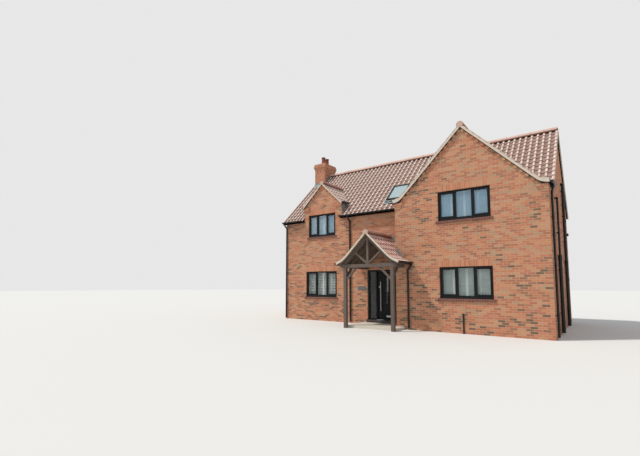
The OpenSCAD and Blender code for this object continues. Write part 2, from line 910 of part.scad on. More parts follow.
// Flue end and two wall lamps on the right gable
module gable_fittings() {
  lamp = [[1050, 4180], [1150, 1830]];
  color(black) {
    translate([half_w, 1350, 3670]) rotate([0, 90, 0]) cylinder(r = 50, h = 150);
    translate([half_w + 110, 1350, 3670]) rotate([0, 90, 0]) cylinder(r = 75, h = 12);
    for (p = lamp) translate([half_w, p[0], p[1]]) {
      translate([0, -40, -60]) cube([18, 80, 120]);
      translate([75, 0, -50]) cylinder(r = 38, h = 120);
      translate([17, -12, -10]) cube([40, 24, 20]);
    }
  }
}

// The wing stands in the way of the right half of the porch roof
module wing_block() {
  translate([wing_left, wing_y, 0]) cube([wing_w, wing_out + eps, sky_z]);
}

module porch_top() {
  difference() {
    along_y(porch_x, post_y - porch_over, front_y) gable_shape(porch_line, plate_z - post_w);
    wing_block();
  }
}

module porch_layer(top, bottom) {
  difference() {
    along_y(porch_x, post_y - porch_over, front_y) band_shape(porch_line, top, bottom);
    wing_block();
  }
}

module porch_roof() {
  color(tile) porch_layer(0, porch_tile_t);
}

module porch_boarding() {
  color(oak) porch_layer(porch_tile_t, porch_roof_t);
}

// Oak section with its four long edges taken off
module post_shape(w, c) {
  polygon([[c, 0], [w - c, 0], [w, c], [w, w - c], [w - c, w], [c, w], [0, w - c], [0, c]]);
}

module porch_posts() {
  color(oak) for (s = [-1, 1])
    translate([porch_x + s * post_x - post_w / 2, post_y, 0]) linear_extrude(tie_z) post_shape(post_w, 8);
}

module side_plates() {
  for (s = [-1, 1]) translate([porch_x + s * post_x - post_w / 2, post_y + post_w, tie_z])
    cube([post_w, (s > 0 ? porch_out - wing_out : porch_out) - post_w, tie_h]);
}

module porch_beams() {
  color(oak) {
    translate([porch_x - tie_half, post_y, tie_z]) cube([2 * tie_half, post_w, tie_h]);
    side_plates();
  }
}

module bar(p, q, w) {
  d = q - p;
  translate(p) rotate(atan2(d[1], d[0])) translate([0, -w / 2]) square([norm(d), w]);
}

// King post truss: principal rafters, a king post with a shouldered foot, and two raking struts
module porch_truss() {
  rafter_d = 92;
  king_w = 90;
  strut_w = 75;
  strut_run = 552;
  strut_rise = 460;
  foot = king_w / 2 + 25;
  rise = truss_apex - plate_z;
  color(oak) along_y(porch_x, truss_y0, truss_y1) intersection() {
    union() {
      translate([0, plate_z]) polygon([[-foot, 0], [foot, 0], [foot, 90], [king_w / 2, 140],
        [king_w / 2, rise], [-king_w / 2, rise], [-king_w / 2, 140], [-foot, 90]]);
      for (s = [-1, 1]) {
        bar([0, truss_apex - rafter_d * 0.707], [s * rise, plate_z - rafter_d * 0.707], rafter_d);
        bar([0, plate_z], [s * strut_run, plate_z + strut_rise], strut_w);
      }
    }
    polygon([[0, truss_apex], [rise, plate_z], [-rise, plate_z]]);
  }
}

// Straight brace across the corner under a beam, reaching the same length both ways
module brace_shape(reach, w) {
  h = w * 0.707;
  polygon([[0, h - reach], [0, -h - reach], [reach + h, 0], [reach - h, 0]]);
}

module porch_braces() {
  inner = post_x - post_w / 2;
  half_t = 30;
  mid_y = post_y + post_w / 2;
  color(oak) {
    for (s = [-1, 1]) along_y(porch_x, mid_y - half_t, mid_y + half_t)
      translate([s * inner, tie_z]) mirror([s > 0 ? 1 : 0, 0]) brace_shape(430, 80);
    for (s = [-1, 1]) along_x(porch_x + s * post_x - half_t, porch_x + s * post_x + half_t)
      translate([post_y + post_w, tie_z]) brace_shape(360, 80);
  }
}

// Pairs of common rafters behind the truss, notched over the side plates
module porch_rafters() {
  deep = 95;
  half_t = 25;
  gap = 420;
  foot = post_x + post_w / 2 + 50;
  line = [[0, truss_apex], [foot, truss_apex - foot]];
  color(oak) difference() {
    for (y = [post_y + gap : gap : front_y - half_t])
      along_y(porch_x, y - half_t, y + half_t) intersection() {
        band_shape(line, 0, deep);
        band_shape(porch_line, porch_roof_t, 3 * porch_roof_t);
      }
    side_plates();
    wing_block();
  }
}

module porch_slab() {
  half = post_x + post_w / 2;
  y0 = post_y + 200;
  color(stone) difference() {
    translate([porch_x - half, y0, 0]) cube([2 * half, front_y - y0, slab_z]);
    wing_block();
  }
}

// Step with rounded front corners and a nosing over its riser
module door_step() {
  nose_h = 38;
  nose_out = 20;
  color(dark_brick) {
    translate([0, 0, step_z - nose_h]) linear_extrude(nose_h) step_outline(0);
    translate([0, 0, slab_z]) linear_extrude(step_z - nose_h - slab_z) step_outline(nose_out);
  }
}

module step_outline(inset) {
  r = 180;
  x0 = door_x0 - 15 + inset;
  x1 = door_x1 + 15 - inset;
  y0 = front_y - tread_out + inset;
  intersection() {
    translate([x0, y0]) square([x1 - x0, front_y - y0]);
    union() {
      translate([x0, y0 + r]) square([x1 - x0, tread_out]);
      translate([x0 + r, y0]) square([x1 - x0 - 2 * r, tread_out]);
      for (x = [x0 + r, x1 - r]) translate([x, y0 + r]) circle(r = r);
    }
  }
}

// Outer frame with a mullion between the side light and the leaf, and a sill strip in front
module door_frame() {
  h = low_head - step_z;
  strip_out = 25;
  clear = 6;
  color(black) {
    difference() {
      translate([door_x0, door_y, step_z]) cube([door_x1 - door_x0, door_deep, h]);
      translate([door_x0 + jamb, door_y - eps, step_z + jamb])
        cube([side_w, door_deep + 2 * eps, h - 2 * jamb]);
      translate([leaf_x0 - leaf_gap, door_y - eps, step_z - eps])
        cube([leaf_w + 2 * leaf_gap, door_deep + 2 * eps, h - jamb + eps]);
    }
    along_x(door_x0, door_x1) polygon([[front_y - strip_out, step_z], [door_y, step_z],
      [door_y, step_z + sill_strip_h], [front_y - strip_out, step_z + 12]]);
    translate([leaf_x0 - leaf_gap, door_y - eps, step_z])
      cube([leaf_w + 2 * leaf_gap, leaf_y - clear - door_y + eps, sill_strip_h]);
  }
}

module side_glass() {
  color(glass_c) translate([door_x0 + jamb, door_y + 40, step_z + jamb])
    cube([side_w, glass_t, low_head - step_z - 2 * jamb]);
}

// The door turns about its right edge, into the house
module swing() {
  translate([pin_x, pin_y, 0]) rotate([0, 0, -door_open]) translate([-pin_x, -pin_y, 0]) children();
}

// Hinge plate on one side of the pin, with knuckles at the given thirds of its height
module hinge_plate(z, side, knuckles) {
  plate_w = 32;
  plate_t = 3;
  web = 12;
  plate_h = 3 * knuckle_h;
  difference() {
    translate([pin_x + (side > 0 ? leaf_gap / 2 : -leaf_gap / 2 - plate_w), pin_y - pin_r, z - plate_h / 2])
      cube([plate_w, plate_t, plate_h]);
    for (k = [-1, 0, 1]) if (!knuckles[k + 1])
      translate([pin_x - web, pin_y - pin_r - eps, z + (k - 0.5) * knuckle_h - knuckle_gap])
        cube([2 * web, 3 * pin_r, knuckle_h + 2 * knuckle_gap]);
  }
  for (k = [-1, 0, 1]) if (knuckles[k + 1]) translate([pin_x, pin_y, z + (k - 0.5) * knuckle_h]) {
    cylinder(r = pin_r, h = knuckle_h - knuckle_gap / 2);
    translate([side > 0 ? 0 : -web, -pin_r, 0]) cube([web, pin_r - 1, knuckle_h - knuckle_gap / 2]);
  }
}

module door_hinges() {
  color(steel) for (z = hinge_z) hinge_plate(z, 1, [true, false, true]);
}

door_glass_x = leaf_x1 - 555;
door_glass_w = 120;
door_glass_z0 = 870;
door_glass_z1 = 1960;

module front_door() {
  bead = 14;
  color(black) swing() {
    difference() {
      translate([leaf_x0, leaf_y, leaf_z0]) cube([leaf_w, leaf_t, leaf_z1 - leaf_z0]);
      door_light(0, leaf_y - eps, leaf_y + leaf_t + eps);
    }
    difference() {
      door_light(-bead, leaf_y - 4, leaf_y + 12);
      door_light(0, leaf_y - 10, leaf_y + 20);
    }
    for (z = hinge_z) hinge_plate(z, -1, [false, true, false]);
  }
}

// Block the size of the narrow glazed light in the leaf, inside its outline by edge
module door_light(edge, y0, y1) {
  translate([door_glass_x + edge, y0, door_glass_z0 + edge])
    cube([door_glass_w - 2 * edge, y1 - y0, door_glass_z1 - door_glass_z0 - 2 * edge]);
}

module door_glass() {
  color(glass_c) swing() door_light(0, leaf_y + 12, leaf_y + 12 + glass_t);
}

// Long bar on two stand-offs, with the lock rose beside it
module door_handle() {
  bar_x = leaf_x0 + 165;
  bar_off = 60;
  color(steel) swing() {
    translate([bar_x, leaf_y - bar_off, 560]) cylinder(r = 16, h = 1200);
    for (z = [700, 1620]) translate([bar_x, leaf_y, z]) rotate([90, 0, 0]) cylinder(r = 10, h = bar_off);
    translate([bar_x - 85, leaf_y, 1540]) rotate([90, 0, 0]) cylinder(r = 26, h = 10);
  }
}

module letter_plate() {
  color(steel) swing() translate([leaf_x0 + 385, leaf_y - 8, 310]) {
    cube([300, 8, 76]);
    translate([20, -5, 13]) cube([260, 6, 50]);
  }
}

module wall_plaque() {
  color(lead) translate([door_x0 - 462, front_y - 12, 1400]) cube([390, 12, 168]);
}

module service_duct() {
  duct_r = 24;
  color(black) translate([wing_x - 95, wing_y - duct_r, 0]) cylinder(r = duct_r, h = 660);
}

ground_floor();
upper_floor();
wing_front_wall();
wing_left_wall();
front_wall_left();
front_wall_right();
front_wall_over_door();
left_gable_wall();
right_gable_wall();
rear_wall();
main_roof_front();
main_roof_rear();
wing_roof();
dormer_roof();
dormer_cheeks();
ridge_tiles();
verges();
dentil_courses();
kneelers();
eaves_boards();
window_frames();
window_sashes();
window_glass();
window_sills();
plantation_shutters();
roof_window();
roof_window_glass();
chimney_stack();
chimney_pots();
lead_flashings();
gutters();
downpipes();
soil_pipes();
gable_fittings();
porch_posts();
porch_beams();
porch_truss();
porch_braces();
porch_rafters();
porch_boarding();
porch_roof();
porch_slab();
door_step();
door_frame();
side_glass();
door_hinges();
front_door();
door_glass();
door_handle();
letter_plate();
wall_plaque();
service_duct();
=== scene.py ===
import math
import random

import bmesh
import bpy
import numpy
from mathutils import Matrix, Vector


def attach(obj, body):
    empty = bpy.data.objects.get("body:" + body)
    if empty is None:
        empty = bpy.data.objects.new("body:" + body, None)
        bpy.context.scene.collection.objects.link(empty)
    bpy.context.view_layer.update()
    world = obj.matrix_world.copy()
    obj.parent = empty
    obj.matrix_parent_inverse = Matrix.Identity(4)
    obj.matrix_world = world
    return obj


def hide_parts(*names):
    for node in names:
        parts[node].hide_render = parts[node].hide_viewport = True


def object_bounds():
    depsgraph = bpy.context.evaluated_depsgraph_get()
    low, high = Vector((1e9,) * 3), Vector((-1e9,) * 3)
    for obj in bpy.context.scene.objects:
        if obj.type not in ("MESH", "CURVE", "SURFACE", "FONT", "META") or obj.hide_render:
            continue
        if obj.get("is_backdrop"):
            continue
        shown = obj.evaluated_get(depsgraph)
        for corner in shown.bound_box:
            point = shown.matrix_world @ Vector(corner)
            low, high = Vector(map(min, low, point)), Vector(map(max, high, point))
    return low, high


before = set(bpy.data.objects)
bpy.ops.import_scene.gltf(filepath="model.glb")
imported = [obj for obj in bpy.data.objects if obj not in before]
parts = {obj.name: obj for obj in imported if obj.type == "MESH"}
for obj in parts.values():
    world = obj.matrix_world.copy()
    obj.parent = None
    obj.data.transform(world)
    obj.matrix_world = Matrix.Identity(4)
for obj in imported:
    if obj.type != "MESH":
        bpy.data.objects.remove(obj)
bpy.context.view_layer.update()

# View
# The house is seen from the drive at the height of the eyes, right of its middle,
# through a wide lens that looks a little up.
view_up = math.radians(4.881)
view_left = math.radians(36.718)
lens = bpy.data.cameras.new("drive_view")
lens.sensor_width = 36
lens.lens = 21.22
lens.shift_x = 0.0003
lens.shift_y = 0.0383
camera = bpy.data.objects.new("drive_view", lens)
camera.location = (6.834, -17.014, 1.633)
camera.rotation_euler = (math.pi / 2 + view_up, 0, view_left)
bpy.context.scene.collection.objects.link(camera)
bpy.context.scene.camera = camera

# Daylight and floor
# Soft light from high on the left, as on a bright day with thin cloud, an even pale
# sky that also shows behind the house, and a plain pale floor.
bpy.context.scene.view_settings.view_transform = "Standard"
daylight = bpy.data.lights.new("daylight", "SUN")
daylight.energy = 2.45
daylight.angle = math.radians(4)
daylight.color = (1, 0.97, 0.92)
lamp = bpy.data.objects.new("daylight", daylight)
lamp.rotation_euler = Vector((1.1, 1.0, -2.3)).to_track_quat("-Z", "Y").to_euler()
bpy.context.scene.collection.objects.link(lamp)


class Wire:
    """What one node gives out. Sums, products and powers of it add Math nodes."""

    def __init__(self, owner, socket):
        self.owner = owner
        self.socket = socket

    def maths(self, operation, first, second=0):
        return self.owner.node("Math", {"operation": operation}, {0: first, 1: second})

    def __add__(self, other):
        return self.maths("ADD", self, other)

    def __sub__(self, other):
        return self.maths("SUBTRACT", self, other)

    def __rsub__(self, other):
        return self.maths("SUBTRACT", other, self)

    def __mul__(self, other):
        return self.maths("MULTIPLY", self, other)

    def __truediv__(self, other):
        return self.maths("DIVIDE", self, other)

    def __pow__(self, other):
        return self.maths("POWER", self, other)

    def __gt__(self, other):
        return self.maths("GREATER_THAN", self, other)

    def __abs__(self):
        return self.maths("ABSOLUTE", self)

    def floored(self):
        return self.maths("FLOOR", self)

    def fraction(self):
        return self.maths("FRACT", self)

    def held(self):
        """The same, kept between 0 and 1."""
        return self.owner.node("Clamp", {}, {0: self})

    __radd__ = __add__
    __rmul__ = __mul__


def paint(red, green, blue):
    """A colour as it looks to the eye, 0 to 255, as the light values a shader takes."""
    def light(x):
        x /= 255
        return x / 12.92 if x <= 0.04045 else ((x + 0.055) / 1.055) ** 2.4
    return (light(red), light(green), light(blue), 1)


class Nodes:
    """The nodes of a material or of the sky."""

    def __init__(self, tree):
        self.tree = tree

    def plug(self, socket, value):
        if isinstance(value, Wire):
            self.tree.links.new(value.socket, socket)
        else:
            socket.default_value = value

    def node(self, kind, settings, inputs, output=0):
        made = self.tree.nodes.new("ShaderNode" + kind)
        for key, value in settings.items():
            if key == "stops":
                ramp = made.color_ramp
                ramp.elements.remove(ramp.elements[1])
                for place, colour in value[1:]:
                    ramp.elements.new(place).color = colour
                ramp.elements[0].position, ramp.elements[0].color = value[0]
            else:
                setattr(made, key, value)
        for key, value in inputs.items():
            self.plug(made.inputs[key], value)
        return Wire(self, made.outputs[output])


class Finish(Nodes):
    """A material that is built up from nodes round one shader."""

    def __init__(self, name, **constants):
        self.material = bpy.data.materials.new(name)
        self.material.use_nodes = True
        super().__init__(self.material.node_tree)
        self.shader = self.tree.nodes["Principled BSDF"]
        self.wear(**constants)

    def wear(self, **sockets):
        """Sets sockets of the shader; an underscore stands for a space in their names."""
        for key, value in sockets.items():
            self.plug(self.shader.inputs[key.replace("_", " ")], value)

    def place(self):
        return self.node("TexCoord", {}, {}, "Object")

    def own(self, name, output="Fac"):
        return self.node("Attribute", {"attribute_name": name}, {}, output)

    def split(self, vector):
        xyz = self.node("SeparateXYZ", {}, {0: vector})
        return [Wire(self, xyz.socket.node.outputs[i]) for i in range(3)]

    def scaled(self, vector, sizes):
        return self.node("VectorMath", {"operation": "MULTIPLY"}, {0: vector, 1: sizes})

    def noise(self, vector, scale, detail=3, rough=0.55, output=0):
        inputs = {"Vector": vector, "Scale": scale, "Detail": detail, "Roughness": rough}
        return self.node("TexNoise", {}, inputs, output)

    def mix(self, share, first, second, blend="MIX"):
        return self.node("Mix", {"data_type": "RGBA", "blend_type": blend}, {0: share, 6: first, 7: second}, 2)

    def ramp(self, value, stops):
        return self.node("ValToRGB", {"stops": stops}, {0: value})

    def relief(self, height, depth, strength=1.0):
        """Bumps of the given depth in metres feed the shader's normal."""
        self.wear(Normal=self.node("Bump", {}, {"Strength": strength, "Distance": depth, "Height": height}))


def mesh_of(shape, name):
    """The mesh of a finished bmesh."""
    mesh = bpy.data.meshes.new(name)
    shape.to_mesh(mesh)
    shape.free()
    return mesh


sky = bpy.data.worlds.new("pale_sky")
bpy.context.scene.world = sky
sky.use_nodes = True
air = Nodes(sky.node_tree)
glow = air.tree.nodes["Background"]
air.plug(glow.inputs["Color"], (0.86, 0.93, 1, 1))
air.plug(glow.inputs["Strength"], 0.55)
bright = air.node("Background", {}, {"Strength": 1})
seen = air.node("LightPath", {}, {}, "Is Camera Ray")
ways = seen.socket.node.outputs
for way in ("Is Glossy Ray", "Is Transmission Ray"):
    seen = seen.maths("MAXIMUM", seen, Wire(air, ways[way]))
backdrop = air.node("MixShader", {}, {0: seen, 1: Wire(air, glow.outputs[0]), 2: bright})
air.plug(air.tree.nodes["World Output"].inputs["Surface"], backdrop)

ground = bmesh.new()
bmesh.ops.create_circle(ground, cap_ends=True, segments=96, radius=120)
floor = bpy.data.objects.new("floor", mesh_of(ground, "floor"))
floor.data.materials.append(Finish("pale_floor", Base_Color=paint(226, 224, 220), Roughness=0.95).material)
bpy.context.scene.collection.objects.link(floor)
floor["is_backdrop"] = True

# Brick walls
# Cavity walls faced with mottled red and orange bricks in stretcher bond, 225 mm to the
# brick and 75 mm to the course, laid in pale lime mortar. Heads are soldier courses.
HALF_W, HALF_D = 5.685, 3.005
WING_Y, WING_X, WING_LEFT, WING_HALF = -3.915, 3.16, 0.635, 2.525
DORMER_X, DORMER_HALF, DORMER_FALL = -3.455, 1.07, 0.951
MAIN_FALL, MAIN_END, MAIN_EAVE = 0.949, 3.195, 4.693
RIDGE = MAIN_EAVE + MAIN_END * MAIN_FALL
WING_RIDGE, DORMER_RIDGE = 7.215, 6.425
MAIN_SLAB, WING_SLAB, DORMER_SLAB = 0.207, 0.155, 0.116  # from a ridge down to the top of its gable
STACK_X1, STACK_Y0, STACK_Y1 = -5.025, -0.66, 0.35
STACK_FOOT, STACK_HEAD = 6.9, 7.985  # where the stack leaves the gable and where its head steps out
BRICK, HEADER, COURSE, JOINT = 0.215, 0.1025, 0.075, 0.01
PROUD, SUNK = 0.003, 0.004
LEAST_LONG, LEAST_HIGH = 0.02, 0.012  # of a cut brick or tile
PAST = 9  # beyond any end of a wall or a slope
dice = random.Random(11)


def piece(name, mesh, finish, stands_for=()):
    """A finished mesh becomes a piece of the house."""
    made = bpy.data.objects.new(name, mesh)
    bpy.context.scene.collection.objects.link(made)
    mesh.materials.clear()
    mesh.materials.append(finish.material)
    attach(made, "house")
    if stands_for:
        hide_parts(*stands_for)


def dress(finish, *names):
    """Gives CAD nodes a finish."""
    for name in names:
        for slot in parts[name].material_slots:
            slot.material = finish.material


mortar = Finish("lime_mortar", Roughness=0.95)
spot = mortar.place()
grit = mortar.noise(spot, 260, 2)
stain = mortar.noise(spot, 1.3, 4)
mortar.wear(Base_Color=mortar.mix(stain, paint(208, 184, 158), paint(182, 156, 130)))
mortar.relief(grit, 0.002, 0.5)


def brick_colour(finish, tone):
    """Fired clay from dark olive headers through red and orange to buff, blotched in each brick."""
    spot = finish.place()
    drift = finish.noise(spot, 0.4, 4, 0.65)
    flame = finish.noise(spot, 12, 4, 0.7)
    sand = finish.noise(spot, 420, 2)
    height = finish.split(spot)[2]
    shade = tone + (drift - 0.5) * 1.1 + (flame - 0.5) * 0.2 + (height - 3) * 0.022
    body = finish.ramp(shade, [
        (0.0, paint(126, 104, 86)), (0.05, paint(142, 112, 90)), (0.12, paint(172, 124, 98)),
        (0.26, paint(190, 124, 98)), (0.48, paint(203, 134, 102)), (0.70, paint(211, 148, 112)),
        (0.88, paint(206, 158, 124)), (1.0, paint(190, 152, 122))])
    crease = ((finish.noise(spot, 26, 3, 0.6) - 0.56) * 4).held()
    lit = finish.mix(crease * 0.4, body, paint(146, 104, 82))
    finish.wear(Base_Color=finish.mix(sand * 0.25, lit, paint(164, 118, 92), "MULTIPLY"), Roughness=0.85 + sand * 0.1)
    finish.relief(flame * 0.6 + sand * 0.4, 0.003, 0.6)


facing = Finish("facing_brick", Specular_IOR_Level=0.25)
brick_colour(facing, facing.own("tone"))


def lay_flat(mesh, unit, places, up, seen):
    """A map for baked colours. The seen faces of the copies lie in it side by side as they do
    on the house, each copy at the last entry of its place, and the hidden ones in a corner."""
    corners = [(unit.vertices[i].co, seen(face.normal)) for face in unit.polygons for i in face.vertices]
    local = numpy.array([(co.x, co[up]) for co, _ in corners])
    tilt = numpy.array([(0, co.z if up == 1 else 0) for co, _ in corners])
    sizes = numpy.array([(place[1][0], place[1][up]) for place in places])
    flat = numpy.array([place[4] for place in places])
    spread = flat[:, None] + local * sizes[:, None] + tilt
    low, high = spread.min((0, 1)), spread.max((0, 1))
    spread = (spread - low) / (high - low)
    shown = numpy.array([shows for _, shows in corners])[:, None]
    spread = numpy.where(shown, 0.02 + spread * 0.98, spread * 0.01)
    mesh.uv_layers.new(name="OFBake").uv.foreach_set("vector", spread.astype(numpy.float32).ravel())
    return mesh


def copies(name, unit, places):
    """Copies of one small mesh, each with its own place, size, turn and tone, made one mesh.
    Each place is the copy's origin, its sizes, its turns about the axes and its tone."""
    points = bmesh.new()
    layers = points.verts.layers
    size, turn, tone = layers.float_vector.new("size"), layers.float_vector.new("turn"), layers.float.new("tone")
    for origin, sizes, turns, shade, *_ in places:
        point = points.verts.new(origin)
        point[size], point[turn], point[tone] = sizes, turns, shade
    carrier = bpy.data.objects.new(name, mesh_of(points, name))
    sample = bpy.data.objects.new("sample", unit)
    for made in (carrier, sample):
        bpy.context.scene.collection.objects.link(made)
    tree = bpy.data.node_groups.new("laying", "GeometryNodeTree")
    tree.interface.new_socket("Geometry", in_out="INPUT", socket_type="NodeSocketGeometry")
    tree.interface.new_socket("Geometry", in_out="OUTPUT", socket_type="NodeSocketGeometry")

    def node(kind, **settings):
        made = tree.nodes.new(kind)
        for key, value in settings.items():
            setattr(made, key, value)
        return made

    start, end = node("NodeGroupInput"), node("NodeGroupOutput")
    info, lay = node("GeometryNodeObjectInfo"), node("GeometryNodeInstanceOnPoints")
    real, spun = node("GeometryNodeRealizeInstances"), node("FunctionNodeEulerToRotation")
    sizes, turns = (node("GeometryNodeInputNamedAttribute", data_type="FLOAT_VECTOR") for _ in range(2))
    info.inputs["Object"].default_value = sample
    sizes.inputs["Name"].default_value, turns.inputs["Name"].default_value = "size", "turn"
    for output, target in (
            (start.outputs[0], lay.inputs["Points"]), (info.outputs["Geometry"], lay.inputs["Instance"]),
            (turns.outputs["Attribute"], spun.inputs[0]), (spun.outputs[0], lay.inputs["Rotation"]),
            (sizes.outputs["Attribute"], lay.inputs["Scale"]), (lay.outputs[0], real.inputs[0]),
            (real.outputs[0], end.inputs[0])):
        tree.links.new(output, target)
    carrier.modifiers.new("laying", "NODES").node_group = tree
    drawn = bpy.context.evaluated_depsgraph_get()
    drawn.update()
    mesh = bpy.data.meshes.new_from_object(
        carrier.evaluated_get(drawn), preserve_all_data_layers=True, depsgraph=drawn)
    mesh.name = name
    for key in ("size", "turn"):
        if key in mesh.attributes:
            mesh.attributes.remove(mesh.attributes[key])
    for made in (carrier, sample):
        bpy.data.objects.remove(made)
    bpy.data.node_groups.remove(tree)
    return mesh


def block(shape, low, high):
    """A square block between two corners."""
    made = bmesh.ops.create_cube(shape, size=1)["verts"]
    bmesh.ops.scale(shape, vec=[b - a for a, b in zip(low, high)], verts=made)
    bmesh.ops.translate(shape, vec=[(a + b) / 2 for a, b in zip(low, high)], verts=made)
    return made


def facing_brick():
    """One brick with its arrises taken off, its outer face towards -Y."""
    shape = bmesh.new()
    block(shape, (-BRICK / 2, -PROUD, -BRICK / 2), (BRICK / 2, SUNK, BRICK / 2))
    front = [v for v in shape.verts if v.co.y < -PROUD / 2]
    arris = 1 - 2 * PROUD / BRICK
    bmesh.ops.scale(shape, vec=(arris, 1, arris), verts=front)
    return mesh_of(shape, "facing_brick")


def left_over(block, holes):
    """What stays of a rectangle beside, under and over the holes in it, as rectangles."""
    left = [block]
    for h0, h1, low, high in holes:
        cut = []
        for s0, s1, z0, z1 in left:
            if s1 <= h0 or s0 >= h1 or z1 <= low or z0 >= high:
                cut.append((s0, s1, z0, z1))
                continue
            a, b = max(s0, h0), min(s1, h1)
            cut += [(s0, a, z0, z1), (b, s1, z0, z1), (a, b, z0, low), (a, b, high, z1)]
        left = [(s0, s1, z0, z1) for s0, s1, z0, z1 in cut if s1 - s0 > LEAST_LONG and z1 - z0 > LEAST_HIGH]
    return left


class Face:
    """One outer face of a wall. Distances run to the right along it, as seen from outside."""

    def __init__(self, x, y, quarter, length, phase=0, sheet=0):
        self.start = Vector((x, y, 0))
        self.turn = quarter * math.pi / 2
        self.along = Vector((math.cos(self.turn), math.sin(self.turn), 0))
        self.length = length
        self.halves = round((length + JOINT) / (HEADER + JOINT))
        self.half = (length + JOINT) / self.halves
        self.phase = phase
        self.sheet = quarter * sheet
        self.laid = []

    def set_brick(self, block, tone):
        s0, s1, z0, z1 = block
        s, z = (s0 + s1) / 2, (z0 + z1) / 2
        self.laid.append((self.at(s, 0, z), ((s1 - s0) / BRICK, 1, (z1 - z0) / BRICK), (0, 0, self.turn), tone,
                          (s + self.sheet, z)))

    def at(self, s, deep, z):
        """A point along the face, some way into the wall, at a height."""
        return self.start + self.along * s + Vector((-self.along.y, self.along.x, 0)) * deep + Vector((0, 0, z))

    def courses(self, low, high, reach, holes=(), first=0):
        """Stretcher bond between two heights; reach gives the ends of the wall at a height."""
        for k in range(round(low / COURSE), math.ceil(high / COURSE)):
            z0, z1 = k * COURSE + first, (k + 1) * COURSE - JOINT + first
            if z0 > high:
                continue
            ends = reach(z1)
            if not ends:
                continue
            s = -self.half if (k + self.phase) % 2 else 0
            while s < self.length - JOINT:
                a, b = max(s, ends[0]), min(s + 2 * self.half - JOINT, ends[1])
                if b - a > LEAST_LONG:
                    for block in left_over((a, b, z0, z1), holes):
                        self.set_brick(block, dice.random())
                s += 2 * self.half

    def soldiers(self, s0, s1, low):
        """A row of bricks on end over an opening."""
        count = round((s1 - s0) / COURSE)
        pitch = (s1 - s0) / count
        for i in range(count):
            a = s0 + i * pitch
            self.set_brick((a + JOINT / 2, a + pitch - JOINT / 2, low, low + BRICK), 0.3 + 0.5 * dice.random())

    def returns(self, s0, s1, low, head):
        """The sides of the bricks beside an opening and the ends of those over it, back to its frame."""
        deep, near = 0.061, 0.012
        for _, (long, _, high), _, tone, (s, z) in list(self.laid):
            s -= self.sheet
            if abs(z - high * BRICK / 2 - head) < JOINT and s0 < s < s1:
                self.laid.append((self.at(s, deep / 2 - PROUD, head), (long, 1, deep / BRICK),
                                  (math.pi / 2, 0, self.turn), tone, (s + self.sheet, head - deep / 2)))
            for jamb, way in ((s0, 1), (s1, -1)):
                if low < z < head and abs(s + way * long * BRICK / 2 - jamb) < near:
                    turns = (0, 0, self.turn + way * math.pi / 2)
                    self.laid.append((self.at(jamb, deep / 2 - PROUD, z), (deep / BRICK, 1, high), turns, tone,
                                      (jamb + way * deep / 2 + self.sheet, z)))


def window(centre, width, head, height):
    """The hole for a window with its sill, and the soldier course over it."""
    return centre - width / 2, centre + width / 2, head - height - SILL_DEEP, head


def gable_reach(middle, apex, fall, half):
    """The ends of a gable at a height, in the shade of its roof edge."""
    hidden, least = 0.06, 0.05

    def reach(z):
        run = min(half, (apex + hidden - z) / fall)
        return (middle - run, middle + run) if run > least else None
    return reach


def all_along(face):
    """The ends of a wall that is equally long at every height."""
    return lambda z: (0, face.length)


front = Face(-HALF_W, -HALF_D, 0, HALF_W + WING_LEFT)
wing = Face(WING_LEFT, WING_Y, 0, 2 * WING_HALF, 1)
wing_side = Face(WING_LEFT, -HALF_D, 3, -HALF_D - WING_Y)
right = Face(HALF_W, WING_Y, 1, HALF_D - WING_Y)
left = Face(-HALF_W, HALF_D, 3, 2 * HALF_D, 1)
rear = Face(HALF_W, HALF_D, 2, 2 * HALF_W)
wall_faces = {"front_bricks": front, "wing_bricks": wing, "wing_side_bricks": wing_side,
              "right_gable_bricks": right, "left_gable_bricks": left, "rear_bricks": rear}

# Openings as distances along their faces
LOW_HEAD, UP_HEAD, REAR_HEAD = 2.25, 4.92, 4.45
WIDE, NARROW, SILL_DEEP = 1.75, 1.545, 0.13
LOW_HIGH, UP_HIGH, FRONT_HIGH = 1.045, 1.01, 1.135
LOW_SHIFT, UP_SHIFT = 0.09, 0.05  # how far the dormer's windows stand left of its middle
REAR_X, REAR_SIZES = 2.9, ((LOW_HEAD, LOW_HIGH), (REAR_HEAD, UP_HIGH))
DOOR_LEFT, DOOR_RIGHT = -1.105, 0.32
SOLDIER_LIFT, SOLDIER_GAP = 0.004, 0.006
dormer_at = DORMER_X + HALF_W
front_holes = [window(dormer_at - LOW_SHIFT, WIDE, LOW_HEAD, FRONT_HIGH),
               window(dormer_at - UP_SHIFT, NARROW, UP_HEAD, UP_HIGH),
               (HALF_W + DOOR_LEFT, HALF_W + DOOR_RIGHT, 0, LOW_HEAD)]
wing_holes = [window(WING_HALF, WIDE, LOW_HEAD, LOW_HIGH), window(WING_HALF, WIDE, UP_HEAD, UP_HIGH)]
rear_holes = [window(HALF_W + side * REAR_X, WIDE, *size) for side in (-1, 1) for size in REAR_SIZES]
for face, holes in ((front, front_holes), (wing, wing_holes), (rear, rear_holes)):
    for s0, s1, _, head in list(holes):
        face.soldiers(s0, s1, head + SOLDIER_LIFT)
        holes.append((s0 - SOLDIER_GAP, s1 + SOLDIER_GAP, head, head + BRICK + JOINT))

